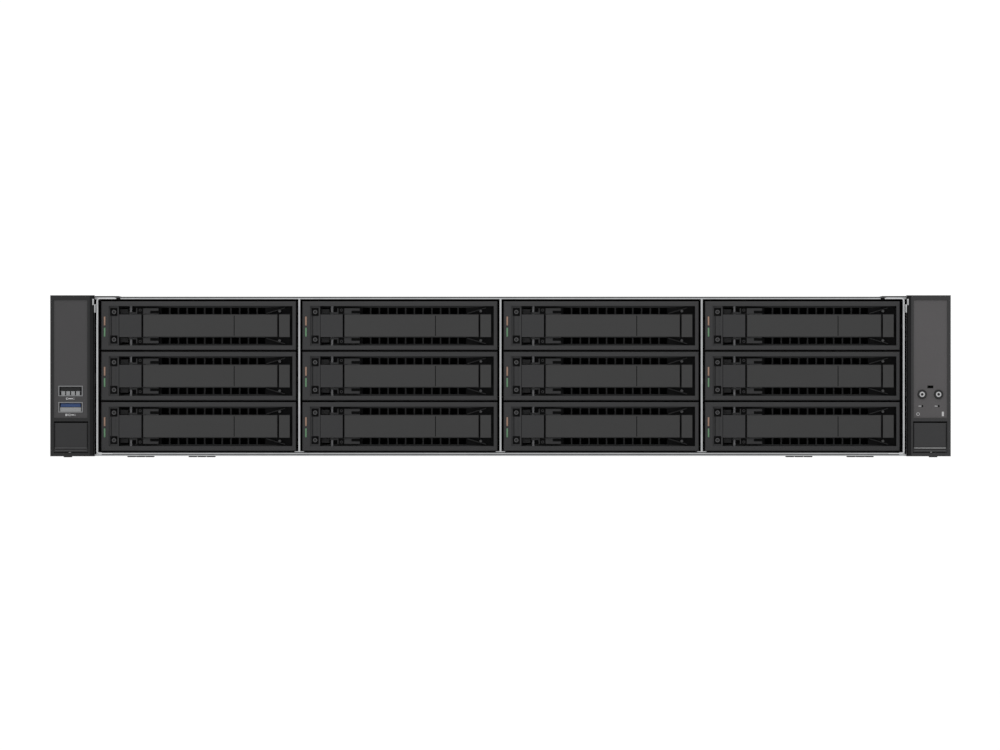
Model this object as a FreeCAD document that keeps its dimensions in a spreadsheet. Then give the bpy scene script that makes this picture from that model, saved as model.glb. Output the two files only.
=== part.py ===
# Two-unit rack server with twelve front drive bays: parametric FreeCAD model, in millimetres.
# X runs to the right seen from the front, Y from the front to the rear, Z up.
# The origin is the centre of the resting plane, under the middle of the overall box.

import FreeCAD, Part
import os
import re
import Sketcher

Vector = FreeCAD.Vector
Rotation = FreeCAD.Rotation

doc = FreeCAD.newDocument("rack_server")
sheet = doc.addObject("Spreadsheet::Sheet", "Sizes")

# ---------------------------------------------------------------- driving dimensions
SIZES = {
    # case
    "rack_width": 482.6,        # over the ears, the 19 inch rack width
    "rack_hole_spacing": 465.1, # between the rack post hole columns
    "rack_hole_height": 5.8,    # lowest rack hole above the resting plane
    "rack_hole_radius": 3.3,
    "case_to_rack": 21.8,       # from each side of the case out to the rack width
    "body_length": 764.0,
    "body_height": 85.2,
    "wall": 1.0,                # sheet thickness
    "foot_height": 0.8,         # pressed ribs under the floor
    "foot_width": 4.3,
    "foot_length": 12.0,
    "foot_pitch": 4.9,
    "foot_group_near": 161.0,   # from the middle to the inner group of ribs
    "foot_group_far": 194.0,
    "foot_from_edge": 16.0,
    "cut_past": 1.0,            # how far a cutting tool runs past what it cuts
    "edge_setback": 6.0,        # ear face to the sheet's front edge
    "slide_fit": 0.3,           # clearance between parts that slide or lie side by side
    "turn_fit": 0.05,           # radial clearance of a pin in its hole
    # drive bays
    "bay_pitch_x": 108.0,
    "bay_pitch_z": 27.0,
    "bay_mid_height": 43.7,
    "cage_side_gap": 1.6,       # carrier to the cage's outer plates
    "divider_wall": 1.0,
    "divider_foot_width": 5.0,
    "divider_foot_height": 0.5,
    "ledge_thick": 1.0,
    "ledge_length": 140.0,
    # drive carrier
    "carrier_setback": 4.0,     # ear face to the bezel's face
    "carrier_width": 104.6,
    "carrier_height": 26.1,
    "carrier_length": 163.0,
    "bezel_depth": 10.0,
    "bezel_chamfer": 0.4,
    "rim_left": 4.1,
    "rim_right": 1.9,
    "rim_edge": 2.45,
    "recess_depth": 7.5,
    "rail_thick": 1.5,
    "rail_height": 22.0,
    "vent_pitch": 4.7,
    "vent_width": 3.9,
    "vent_height": 3.4,
    "vent_start": 32.2,         # left edge of the recess's bezel to the first vent
    "vent_to_lever": 0.25,
    "end_vent_width": 4.6,
    "hinge_block_width": 5.4,
    "hinge_block_inset": 1.2,
    "hinge_cover_inset": 0.9,
    "hinge_cover_thick": 1.7,
    "hinge_cover_past_pin": 5.7,
    "screw_pocket_width": 3.9,
    "screw_pocket_height": 4.4,
    "screw_pocket_depth": 2.5,
    "screw_pocket_offset": 7.4,
    "carrier_screw_radius": 1.2,
    "carrier_screw_head": 1.2,
    "light_slot_width": 1.0,
    "light_slot_height": 4.9,
    "light_slot_gap": 1.1,
    "light_slot_rise": 0.1,
    "light_slot_inset": 1.4,
    "light_slot_depth": 1.2,
    "drive_length": 147.0,
    "drive_gap": 4.0,           # bezel to the hard drive
    # lever and release latch
    "lever_height": 12.1,
    "lever_thick": 1.8,
    "lever_inset": 0.5,
    "lever_length": 72.1,
    "lever_gap": 0.9,           # joint between the hinge cover and the lever
    "lever_groove_at": 23.2,    # groove to the lever's free end
    "lever_groove_width": 0.4,
    "lever_groove_depth": 0.3,
    "lever_lip": 1.0,
    "lever_lip_depth": 2.2,
    "lever_chamfer": 0.3,
    "lever_web": 1.7,
    "lever_web_inset": 1.6,
    "groove_margin": 0.6,
    "arm_height": 3.15,
    "arm_depth": 3.7,
    "arm_gap": 0.2,
    "arm_reach": 14.8,
    "arm_from_pin": 2.9,
    "lug_height": 1.05,
    "lug_radius": 1.6,
    "lug_tie": 3.2,
    "pin_radius": 0.75,
    "pin_from_rim": 11.8,       # recess's left wall to the hinge pin
    "pin_depth": 4.5,
    "pin_seat": 1.3,
    "latch_gap": 0.9,
    "latch_width": 5.7,
    "latch_stem_inset": 1.0,
    "latch_stem_height": 8.0,
    # backplane
    "connector_length": 8.6,
    "connector_width": 42.7,
    "connector_height": 5.0,
    "connector_drop": 6.0,
    "connector_offset": 20.0,
    "backplane_thick": 2.4,
    "backplane_slot_offset": 24.0,
    "backplane_slot_width": 34.0,
    "backplane_slot_height": 9.0,
    # fans
    "fan_side": 80.0,
    "fan_depth": 38.0,
    "fan_bore": 38.5,
    "fan_pitch": 130.0,
    "fan_behind_backplane": 38.0,
    "fan_hub": 17.0,
    "fan_motor_radius": 15.0,
    "fan_motor_depth": 5.0,
    "fan_strut": 4.0,
    "fan_shaft": 1.95,
    "fan_shaft_length": 20.0,
    "fan_hub_inset": 4.0,
    "fan_screw_spacing": 71.5,
    "fan_screw_radius": 2.15,
    "blade_reach": 36.3,
    "blade_thick": 1.6,
    "blade_depth": 24.0,
    "blade_root": 2.0,          # how deep a blade is set into the hub
    "blade_tilt": 38.0,
    # rear panel, power supplies and their bay
    "supply_width": 73.5,
    "supply_height": 40.0,
    "supply_length": 185.0,
    "supply_fit": 0.4,
    "shelf_wall": 1.0,
    "bay_wall_past": 12.0,      # the bay's wall beyond the supplies' inner ends
    "handle_reach": 28.0,
    "handle_width": 4.0,
    "handle_bar": 4.0,
    "handle_height": 32.0,
    "handle_at": 38.5,
    "inlet_width": 24.0,
    "inlet_height": 16.5,
    "inlet_depth": 16.0,
    "inlet_at": 20.0,
    "inlet_pin_inset": 5.0,
    "inlet_pin_spread": 7.0,
    "inlet_pin_width": 2.0,
    "inlet_pin_height": 4.0,
    "inlet_pin_drop": 2.0,
    "supply_fan_at": 55.0,
    "supply_fan_radius": 14.5,
    "supply_fan_hub": 7.0,
    "supply_fan_recess": 8.0,
    "supply_fan_hub_inset": 1.5,
    "trigger_thick": 1.2,
    "trigger_height": 15.0,
    "trigger_length": 27.0,     # pivot to the supply's rear face
    "trigger_reach": 14.0,
    "trigger_inset": 1.1,
    "trigger_room": 1.2,
    "trigger_room_past": 3.0,   # beyond the trigger's pin
    "trigger_grip_width": 2.6,
    "trigger_grip_length": 3.0,
    "trigger_knuckle": 1.3,
    "trigger_pin_radius": 0.6,
    "edge_tongue_length": 6.0,
    "edge_tongue_width": 40.0,
    "board_thick": 1.6,
    "power_socket_length": 8.7,
    "power_socket_height": 8.0,
    "power_socket_past": 3.0,   # wider than the edge tongue on each side
    "power_board_gap": 2.0,
    # system board
    "standoff": 6.0,
    "standoff_radius": 3.0,
    "board_width": 350.0,
    "board_from_fans": 84.4,    # fan wall to the board's front edge
    "board_left_gap": 4.5,
    "standoff_bore": 4.0,
    "standoff_x": 6.0,          # from the board's left and front edges
    "standoff_pitch_x": 164.0,
    "standoff_y": 8.0,
    "standoff_from_rear": 32.0,
    "processor_spacing": 176.0,
    "processor_from_front": 90.0,
    "socket_width": 78.0,
    "socket_length": 57.0,
    "socket_height": 7.0,
    "sink_width": 90.0,
    "sink_length": 110.0,
    "sink_base": 6.0,
    "sink_height": 60.0,
    "fin_thick": 1.0,
    "fin_pitch": 3.7,
    "memory_pitch": 9.4,
    "memory_from_sink": 7.0,
    "memory_length": 133.35,
    "memory_height": 31.25,
    "memory_thick": 3.6,
    "memory_slot_length": 142.0,
    "memory_slot_width": 6.5,
    "memory_slot_height": 8.0,
    "chip_sink_side": 48.0,
    "chip_sink_height": 14.0,
    "chip_sink_at_x": 20.0,     # from the board's middle
    "chip_sink_from_rear": 162.0,
    "battery_radius": 10.0,
    "battery_height": 5.0,
    "battery_at_x": -36.0,
    "battery_from_rear": 102.0,
    # rear sockets
    "port_proud": 0.6,
    "rear_port_length": 20.0,
    "rear_port_depth": 12.0,
    "rear_port_wall": 1.2,
    "rear_port_floor": 2.5,
    "rear_port_top": 1.5,
    "rear_port_at": -46.0,      # middle of the first one
    "rear_port_pitch": 18.5,
    "network_width": 14.0,
    "network_height": 13.5,
    "usb_stack_width": 14.5,
    "usb_stack_height": 14.0,
    "video_at": 38.0,
    "video_width": 31.0,
    "video_height": 12.5,
    # exhaust slots in the rear panel
    "exhaust_from_bank": 8.0,  # from the right slot bank
    "exhaust_pitch": 10.0,
    "exhaust_width": 8.0,
    "exhaust_base": 30.0,
    "exhaust_height": 50.0,
    "low_exhaust_pitch": 12.0,
    "low_exhaust_width": 9.0,
    "low_exhaust_base": 11.0,
    "low_exhaust_height": 10.0,
    # risers and slot covers
    "slot_pitch": 20.32,
    "slot_window_height": 16.0,
    "slot_window_width": 112.0,
    "slot_lowest": 25.5,
    "slot_bank_from_board": 6.0,
    "slot_bank_gap": 16.0,
    "slot_cover_lap": 1.6,
    "slot_cover_thick": 0.9,
    "riser_length": 180.0,
    "riser_from_rear": 24.0,
    "riser_from_bank": 4.0,
    "riser_height": 66.0,
    "riser_slot_length": 89.0,
    "riser_slot_height": 7.5,
    "riser_slot_reach": 11.0,
    "riser_slot_from_rear": 30.0,
    # air duct
    "duct_wall": 2.0,
    "duct_to_risers": 3.3,
    "duct_height": 72.5,
    "duct_before_board": 30.0,
    "duct_wall_from_edge": 16.0,
    "duct_inset": 1.0,
    # top cover
    "cover_split": 186.0,       # front edge to the joint between front cover and lid
    "cover_gap": 0.3,
    "skirt_height": 8.0,
    "skirt_before_supplies": 20.0,
    "grip_at": 120.0,
    "grip_width": 46.0,
    "grip_length": 24.0,
    "grip_from_joint": 30.0,
    "grip_depth": 0.6,
    # ears
    "ear_width": 23.6,
    "ear_base": 0.7,
    "ear_height": 86.3,
    "ear_front_depth": 5.6,
    "ear_depth": 30.0,
    "ear_wall": 2.5,
    "panel_left": 1.9,          # from the ear's outer edge
    "panel_width": 18.0,
    "panel_base": 21.2,
    "panel_height": 63.3,
    "panel_depth": 0.5,
    "panel_ledge": 0.5,         # rim that the panel lies on
    "cavity_floor": 1.0,
    "flange_thick": 2.0,
    "leg_thick": 1.5,
    "leg_length": 45.0,
    "leg_margin": 5.0,
    "tab_width": 17.0,          # ear bracket's tab over the case
    "tab_thick": 0.9,
    "tab_length": 26.0,
    "tab_inset": 1.0,
    "door_left": 2.1,
    "door_width": 18.0,
    "door_base": 2.9,
    "door_height": 15.7,
    "door_thick": 2.0,
    "door_inset": 0.3,
    "door_gap": 0.2,
    "door_top_gap": 0.8,
    "door_pivot_drop": 2.2,
    "door_pivot_depth": 1.6,
    "door_pin_radius": 0.6,
    "door_pin_length": 1.1,
    "door_ridge_inset": 1.0,
    "door_ridge_rise": 2.2,
    "door_ridge_height": 0.6,
    "door_groove_rise": 1.5,
    "door_groove_height": 0.5,
    "door_groove_depth": 0.4,
    "door_pocket_depth": 6.0,
    "screw_room_floor": 1.2,
    "ear_boss_radius": 2.3,
    "ear_boss_bottom": 0.1,
    "ear_boss_depth": 10.0,
    "ear_boss_from_edge": 8.9,
    "port_from_edge": 10.85,
    "port_height_low": 27.0,
    "port_pitch": 8.7,
    "port_shell_width": 13.1,
    "port_shell_height": 5.7,
    "port_shell_length": 14.0,
    "port_shell_wall": 0.5,
    "port_tongue_thick": 1.8,
    "port_tongue_rise": 0.2,
    "port_tongue_margin": 1.2,
    "port_tongue_inset": 1.5,
    "port_shell_back": 1.5,
    "port_fit": 0.15,
    "button_height": 33.9,
    "button_near": 6.5,         # ear's outer edge to the power button
    "button_spacing": 8.8,
    "button_radius": 2.4,
    "button_fit": 0.1,
    "button_proud": 0.2,
    "button_flange": 3.1,
    "button_flange_thick": 0.8,
    "button_flange_gap": 0.15,
    "pinhole_radius": 0.6,
    "pinhole_drop": 6.3,
    "status_window_rise": 4.0,
    "status_window_width": 3.2,
    "status_window_height": 1.5,
    "button_stem": 1.2,
    "button_length": 15.5,
    "control_board_depth": 18.0,
    "control_board_below": 9.0,
    "control_board_above": 12.0,
    "port_board_below": 4.0,
    "port_board_above": 20.7,
    # screws
    "screw_head_radius": 2.8,
    "screw_head_height": 0.9,
    "screw_radius": 1.5,
    "screw_length": 3.5,
    "screw_fit": 0.1,
    "screw_root": 0.2,
    "screw_cross_length": 2.8,
    "screw_cross_width": 0.6,
    "screw_cross_depth": 0.4,
    "side_screw_low": 15.0,
    "side_screw_pitch": 27.5,
    "side_screw_setback": 27.0,
    "rail_stud_radius": 3.0,
    "rail_stud_length": 5.0,
    "rail_stud_first": 150.0,
    "rail_stud_second": 520.0,
    "rail_stud_spacing": 140.0,
}

COLUMNS = 4
ROWS = 3
VENTS = 12
FANS = 3
BLADES = 7
FINS = 24
MEMORY_EACH_SIDE = 4
SLOTS = 3
EXHAUST_SLOTS = 8
LOW_EXHAUST_SLOTS = 9
SIDE_SCREWS = 3

for number, (alias, value) in enumerate(SIZES.items(), 1):
    sheet.set(f"A{number}", alias)
    sheet.set(f"B{number}", str(value))
    sheet.setAlias(f"B{number}", alias)
doc.recompute()

ALIAS = re.compile(r"\b(" + "|".join(sorted(SIZES, key=len, reverse=True)) + r")\b")

# ---------------------------------------------------------------- places that many parts share
FACE = "(-(edge_setback + body_length + handle_reach - button_proud) / 2)"      # front of the ears
EDGE = f"({FACE} + edge_setback)"                                # front edge of the sheet metal
REAR = f"({EDGE} + body_length)"                                 # outer face of the rear panel
BEZEL = f"({FACE} + carrier_setback)"                            # front of the drive carriers
FLOOR = "(foot_height + wall)"                                   # top of the case floor
ROOF = "(foot_height + body_height - wall)"                      # underside of the cover sheets
SIDE = "(rack_width / 2 - case_to_rack)"                         # outer face of a case side
DRIVE_END = f"({BEZEL} + bezel_depth + drive_gap + drive_length)"
BACKPLANE = f"({DRIVE_END} + connector_length + slide_fit)"      # front of the backplane
FAN_FRONT = f"({BACKPLANE} + backplane_thick + fan_behind_backplane)"
FAN_REAR = f"({FAN_FRONT} + fan_depth)"
BOARD_TOP = f"({FLOOR} + standoff + board_thick)"
BOARD_LEFT = f"(-{SIDE} + wall + board_left_gap)"
BOARD_REAR = f"({REAR} - wall - slide_fit)"
BOARD_FRONT = f"({FAN_REAR} + board_from_fans)"
SUPPLY_LEFT = f"({SIDE} - wall - supply_fit - supply_width)"
BAY_WALL = f"({SUPPLY_LEFT} - supply_fit - shelf_wall)"          # left face of the supply bay's wall
SHELF = f"({FLOOR} + supply_fit * 2 + supply_height)"            # underside of the supply shelf


def named(text):
    """Turns the sizes in a formula into references to the sheet."""
    return ALIAS.sub(r"Sizes.\1", str(text))


def bind(thing, target, text):
    thing.setExpression(target, named(text))


def place(thing, x="0", y="0", z="0", turn=None):
    if turn is not None:
        thing.Placement = FreeCAD.Placement(Vector(), turn)
    for axis, text in zip("xyz", (x, y, z)):
        bind(thing, f"Placement.Base.{axis}", text)
    return thing


def box(name, x, y, z):
    """A block from the low to the high value along each axis."""
    made = doc.addObject("Part::Box", name)
    for target, (low, high) in zip(("Length", "Width", "Height"), (x, y, z)):
        bind(made, target, f"({high}) - ({low})")
    return place(made, x[0], y[0], z[0])


TURNS = {
    "x": Rotation(Vector(0, 1, 0), 90),
    "y": Rotation(Vector(1, 0, 0), -90),
    "z": Rotation(),
}


def rod(name, radius, axis, low, high, across):
    """A cylinder along an axis; across gives its centre on the two other axes, in X, Y, Z order."""
    made = doc.addObject("Part::Cylinder", name)
    bind(made, "Radius", radius)
    bind(made, "Height", f"({high}) - ({low})")
    spot = list(across)
    spot.insert("xyz".index(axis), low)
    return place(made, *spot, turn=TURNS[axis])


def group(name, parts):
    made = doc.addObject("Part::Compound", name)
    made.Links = list(parts)
    return made


def fuse(name, parts):
    made = doc.addObject("Part::MultiFuse", name)
    made.Shapes = list(parts)
    made.Refine = True
    return made


def cut(name, base, tools):
    """Cuts separate tools from a base."""
    made = doc.addObject("Part::Cut", name)
    made.Base = base
    made.Tool = tools[0] if len(tools) == 1 else group(name + "_tools", tools)
    made.Refine = True
    return made


def copy_at(name, source, x="0", y="0", z="0", turn=None):
    """Another of the same piece, at its own place."""
    return place(group(name, [source]), x, y, z, turn)


def span(low, length):
    return (low, f"{low} + {length}")


def centred(middle, length):
    return (f"({middle}) - ({length}) / 2", f"({middle}) + ({length}) / 2")


def mirrored(low, high):
    """The same span on both sides of the middle."""
    return ((low, high), (f"-({high})", f"-({low})"))


# ---------------------------------------------------------------- sketches and features of a body
def sketch(body, name, role="XZ_Plane", offset=None):
    """A sketch on one of its body's own planes; on XZ its depth runs along -Y."""
    made = body.newObject("Sketcher::SketchObject", name)
    plane = next(f for f in body.Origin.OriginFeatures if f.Role == role)
    made.AttachmentSupport = [(plane, "")]
    made.MapMode = "FlatFace"
    if offset:
        bind(made, "AttachmentOffset.Base.z", offset)
    return made


def rectangle(made, across, up):
    """Four lines whose corners are held by the sheet."""
    first = made.GeometryCount
    x0, x1 = (float(made.evalExpression(named(t))) for t in across)
    y0, y1 = (float(made.evalExpression(named(t))) for t in up)
    corners = [Vector(x0, y0, 0), Vector(x1, y0, 0), Vector(x1, y1, 0), Vector(x0, y1, 0)]
    for i in range(4):
        made.addGeometry(Part.LineSegment(corners[i], corners[(i + 1) % 4]), False)
    for i in range(4):
        made.addConstraint(Sketcher.Constraint("Coincident", first + i, 2, first + (i + 1) % 4, 1))
        direction = "Horizontal" if i % 2 == 0 else "Vertical"
        made.addConstraint(Sketcher.Constraint(direction, first + i))
    holds = (
        ("DistanceX", 0, x0, across[0]),
        ("DistanceY", 0, y0, up[0]),
        ("DistanceX", 2, x1, across[1]),
        ("DistanceY", 2, y1, up[1]),
    )
    for kind, corner, value, text in holds:
        held = made.addConstraint(Sketcher.Constraint(kind, -1, 1, first + corner, 1, value))
        bind(made, f"Constraints[{held}]", text)
    return made


def circle(made, radius, across="0", up="0"):
    first = made.GeometryCount
    x, y, r = (float(made.evalExpression(named(t))) for t in (across, up, radius))
    made.addGeometry(Part.Circle(Vector(x, y, 0), Vector(0, 0, 1), r), False)
    holds = [("DistanceX", x, across), ("DistanceY", y, up)]
    for kind, value, text in holds:
        held = made.addConstraint(Sketcher.Constraint(kind, -1, 1, first, 3, value))
        bind(made, f"Constraints[{held}]", text)
    held = made.addConstraint(Sketcher.Constraint("Radius", first, r))
    bind(made, f"Constraints[{held}]", radius)
    return made


def feature(body, kind, name, profile, length=None, back=False):
    """A pad or pocket of a sketch; back sends it against the sketch's own direction."""
    made = body.newObject(f"PartDesign::{kind}", name)
    made.Profile = profile
    profile.Visibility = False
    if length is None:
        made.Type = "ThroughAll"
        made.Midplane = True
    else:
        bind(made, "Length", length)
        made.Reversed = back
    return made


# ---------------------------------------------------------------- drive carrier
# Modelled about the middle of its bay, with the bezel's face at Y = 0.
HALF_WIDTH = "(carrier_width / 2)"
HALF_HEIGHT = "(carrier_height / 2)"
RECESS_LEFT = f"(-{HALF_WIDTH} + rim_left)"
RECESS_RIGHT = f"({HALF_WIDTH} - rim_right)"
RECESS_HALF = f"({HALF_HEIGHT} - rim_edge)"
PIN_X = f"({RECESS_LEFT} + pin_from_rim)"
COVER_RIGHT = f"({PIN_X} + hinge_cover_past_pin)"
LEVER_LEFT = f"({COVER_RIGHT} + lever_gap)"
LEVER_RIGHT = f"({LEVER_LEFT} + lever_length)"
LATCH_LEFT = f"({LEVER_RIGHT} + latch_gap)"
VENT_LOW = "(lever_height / 2 + vent_to_lever)"
VENT_HIGH = f"({VENT_LOW} + vent_height)"
LEVER_BACK = "(lever_inset + lever_thick)"
ARM_LOW = "(lever_height / 2 + arm_gap)"
ARM_HIGH = f"({ARM_LOW} + arm_height)"


def carrier_frame():
    body = doc.addObject("PartDesign::Body", "carrier_frame")
    outline = rectangle(
        sketch(body, "bezel_outline"),
        (f"-{HALF_WIDTH}", HALF_WIDTH),
        (f"-{HALF_HEIGHT}", HALF_HEIGHT),
    )
    bezel = feature(body, "Pad", "bezel", outline, "bezel_depth", back=True)
    doc.recompute()
    softened = body.newObject("PartDesign::Chamfer", "bezel_chamfers")
    front_edges = [
        f"Edge{i}"
        for i, edge in enumerate(bezel.Shape.Edges, 1)
        if edge.BoundBox.YMax < 0.001
    ]
    softened.Base = (bezel, front_edges)
    bind(softened, "Size", "bezel_chamfer")
    recess = rectangle(
        sketch(body, "recess_outline"),
        (RECESS_LEFT, RECESS_RIGHT),
        (f"-{RECESS_HALF}", RECESS_HALF),
    )
    feature(body, "Pocket", "recess", recess, "recess_depth", back=False)
    vents = sketch(body, "vent_outlines")
    for low, high in mirrored(VENT_LOW, VENT_HIGH):
        rectangle(vents, (f"{PIN_X} - pin_radius - end_vent_width", f"{PIN_X} - pin_radius"), (low, high))
        for i in range(VENTS):
            left = f"{RECESS_LEFT} - rim_left + vent_start + {i} * vent_pitch"
            rectangle(vents, (left, f"{left} + vent_width"), (low, high))
    feature(body, "Pocket", "vents", vents)
    rails = sketch(body, "rail_outlines", offset="-bezel_depth")
    for across in mirrored(f"{HALF_WIDTH} - rail_thick", HALF_WIDTH):
        rectangle(rails, across, ("-rail_height / 2", "rail_height / 2"))
    feature(body, "Pad", "rails", rails, "carrier_length - bezel_depth", back=True)
    block = rectangle(
        sketch(body, "hinge_block_outline", offset="-recess_depth"),
        (RECESS_LEFT, f"{RECESS_LEFT} + hinge_block_width"),
        (f"-{RECESS_HALF}", RECESS_HALF),
    )
    feature(body, "Pad", "hinge_block", block, "recess_depth - hinge_block_inset")
    cover = rectangle(
        sketch(body, "hinge_cover_outline", offset="-hinge_cover_inset - hinge_cover_thick"),
        (f"{RECESS_LEFT} + hinge_block_width - rail_thick", COVER_RIGHT),
        ("-lever_height / 2", "lever_height / 2"),
    )
    feature(body, "Pad", "hinge_cover", cover, "hinge_cover_thick")
    pockets = sketch(body, "screw_pocket_outlines")
    middle = f"{RECESS_LEFT} + hinge_block_width / 2"
    for sign in ("", "-"):
        rectangle(
            pockets,
            centred(middle, "screw_pocket_width"),
            centred(f"{sign}screw_pocket_offset", "screw_pocket_height"),
        )
    feature(body, "Pocket", "screw_pockets", pockets, "hinge_block_inset + screw_pocket_depth")
    lights = sketch(body, "light_slot_outlines")
    across = centred(f"-{HALF_WIDTH} + light_slot_inset + light_slot_width / 2", "light_slot_width")
    rectangle(lights, across, ("light_slot_rise", "light_slot_rise + light_slot_height"))
    rectangle(
        lights,
        across,
        ("light_slot_rise - light_slot_gap - light_slot_height", "light_slot_rise - light_slot_gap"),
    )
    feature(body, "Pocket", "light_slots", lights, "light_slot_depth")
    pin_hole = sketch(body, "pin_hole_outline", "XY_Plane")
    circle(pin_hole, "pin_radius + turn_fit", PIN_X, "pin_depth")
    hole = feature(body, "Pocket", "pin_holes", pin_hole, f"2 * ({RECESS_HALF} + pin_seat)")
    hole.Midplane = True
    return body


def hard_drive():
    inside = f"({HALF_WIDTH} - rail_thick)"
    along = span("bezel_depth + drive_gap", "drive_length")
    return box("hard_drive", (f"-{inside}", inside), along, (f"-{HALF_HEIGHT}", HALF_HEIGHT))


def hinge_pin():
    half = f"({RECESS_HALF} + pin_seat - slide_fit)"
    return rod("hinge_pin", "pin_radius", "z", f"-{half}", half, (PIN_X, "pin_depth"))


def carrier_screws():
    middle = f"{RECESS_LEFT} + hinge_block_width / 2"
    seat = "hinge_block_inset + screw_pocket_depth"
    heads = []
    for i, sign in enumerate(("", "-")):
        across = (middle, f"{sign}screw_pocket_offset")
        along = (f"{seat} - carrier_screw_head", seat)
        heads.append(rod(f"carrier_screw_{i}", "carrier_screw_radius", "y", *along, across))
    return heads


def lever():
    body = doc.addObject("PartDesign::Body", "lever_form")
    half = "(lever_height / 2)"
    plate = rectangle(
        sketch(body, "lever_outline", offset="-lever_inset"), (LEVER_LEFT, LEVER_RIGHT), (f"-{half}", half)
    )
    pad = feature(body, "Pad", "lever_plate", plate, "lever_thick", back=True)
    doc.recompute()
    softened = body.newObject("PartDesign::Chamfer", "lever_chamfers")
    inset = SIZES["lever_inset"] + 0.001
    front_edges = [
        f"Edge{i}" for i, edge in enumerate(pad.Shape.Edges, 1) if edge.BoundBox.YMax < inset
    ]
    softened.Base = (pad, front_edges)
    bind(softened, "Size", "lever_chamfer")
    groove = rectangle(
        sketch(body, "groove_outline", offset="-lever_inset"),
        centred(f"{LEVER_RIGHT} - lever_groove_at", "lever_groove_width"),
        (f"-{half} + groove_margin", f"{half} - groove_margin"),
    )
    feature(body, "Pocket", "groove", groove, "lever_groove_depth")
    back = f"-{LEVER_BACK}"
    arm_end = f"{PIN_X} + arm_reach"
    lips = sketch(body, "lip_outlines", offset=back)
    for low, high in mirrored(f"{half} - lever_lip", half):
        rectangle(lips, (arm_end, f"{LEVER_RIGHT} - lever_lip"), (low, high))
    feature(body, "Pad", "lips", lips, "lever_lip_depth", back=True)
    web = rectangle(
        sketch(body, "web_outline", offset=back),
        (f"{LEVER_LEFT} + lever_web_inset", arm_end),
        (f"-{ARM_HIGH}", ARM_HIGH),
    )
    feature(body, "Pad", "web", web, "lever_web", back=True)
    arms = sketch(body, "arm_outlines", offset=back)
    for low, high in mirrored(ARM_LOW, ARM_HIGH):
        rectangle(arms, (f"{PIN_X} + arm_from_pin", arm_end), (low, high))
    feature(body, "Pad", "arms", arms, "arm_depth", back=True)
    for i, (low, high) in enumerate(mirrored(ARM_LOW, f"{ARM_LOW} + lug_height")):
        lug = sketch(body, f"lug_outline_{i}", "XY_Plane", offset=low)
        circle(lug, "lug_radius", PIN_X, "pin_depth")
        feature(body, "Pad", f"lug_{i}", lug, f"({high}) - ({low})")
        tie = rectangle(
            sketch(body, f"lug_tie_outline_{i}", "XY_Plane", offset=low),
            (PIN_X, f"{PIN_X} + lug_tie"),
            ("pin_depth - lug_radius", f"{LEVER_BACK} + arm_depth"),
        )
        feature(body, "Pad", f"lug_tie_{i}", tie, f"({high}) - ({low})")
    eye = circle(sketch(body, "eye_outline", "XY_Plane"), "pin_radius + turn_fit", PIN_X, "pin_depth")
    feature(body, "Pocket", "eyes", eye)
    return body


def release_latch():
    right = f"{LATCH_LEFT} + latch_width"
    half = "(lever_height / 2)"
    pad = box("latch_pad", (LATCH_LEFT, right), ("lever_inset", LEVER_BACK), (f"-{half}", half))
    stem = box(
        "latch_stem",
        (f"{LATCH_LEFT} + latch_stem_inset", f"{right} - latch_stem_inset"),
        (LEVER_BACK, "recess_depth - slide_fit"),
        ("-latch_stem_height / 2", "latch_stem_height / 2"),
    )
    return fuse("latch_form", [pad, stem])


def bay_places():
    """Number, X and Z of each bay, counted from the top left, row by row."""
    for row in range(ROWS):
        for column in range(COLUMNS):
            x = f"({column} - {(COLUMNS - 1) / 2}) * bay_pitch_x"
            z = f"bay_mid_height + ({(ROWS - 1) / 2} - {row}) * bay_pitch_z"
            yield f"{row * COLUMNS + column + 1:02d}", x, z


# ---------------------------------------------------------------- drive cage
CAGE_INNER = f"({(COLUMNS - 1) / 2} * bay_pitch_x + {HALF_WIDTH} + cage_side_gap)"
CAGE_FLOOR = f"({FLOOR} + wall)"


def cage_plate(name, low, high, ledge_sides):
    """An upright of the cage with the folded ledges that carry the carriers' rails."""
    plate = box(name + "_sheet", (low, high), (EDGE, BACKPLANE), (CAGE_FLOOR, ROOF))
    pieces = [plate]
    for sign, reach in ledge_sides:
        for row in range(ROWS):
            rail_low = f"(bay_mid_height + ({row - (ROWS - 1) / 2}) * bay_pitch_z - rail_height / 2)"
            across = (f"{high}", f"{high} + {reach}") if sign > 0 else (f"{low} - {reach}", f"{low}")
            pieces.append(
                box(
                    f"{name}_ledge_{len(pieces)}",
                    across,
                    span(f"{BEZEL} + bezel_depth + slide_fit", "ledge_length"),
                    (f"{rail_low} - slide_fit - ledge_thick", f"{rail_low} - slide_fit"),
                )
            )
    return pieces


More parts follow.
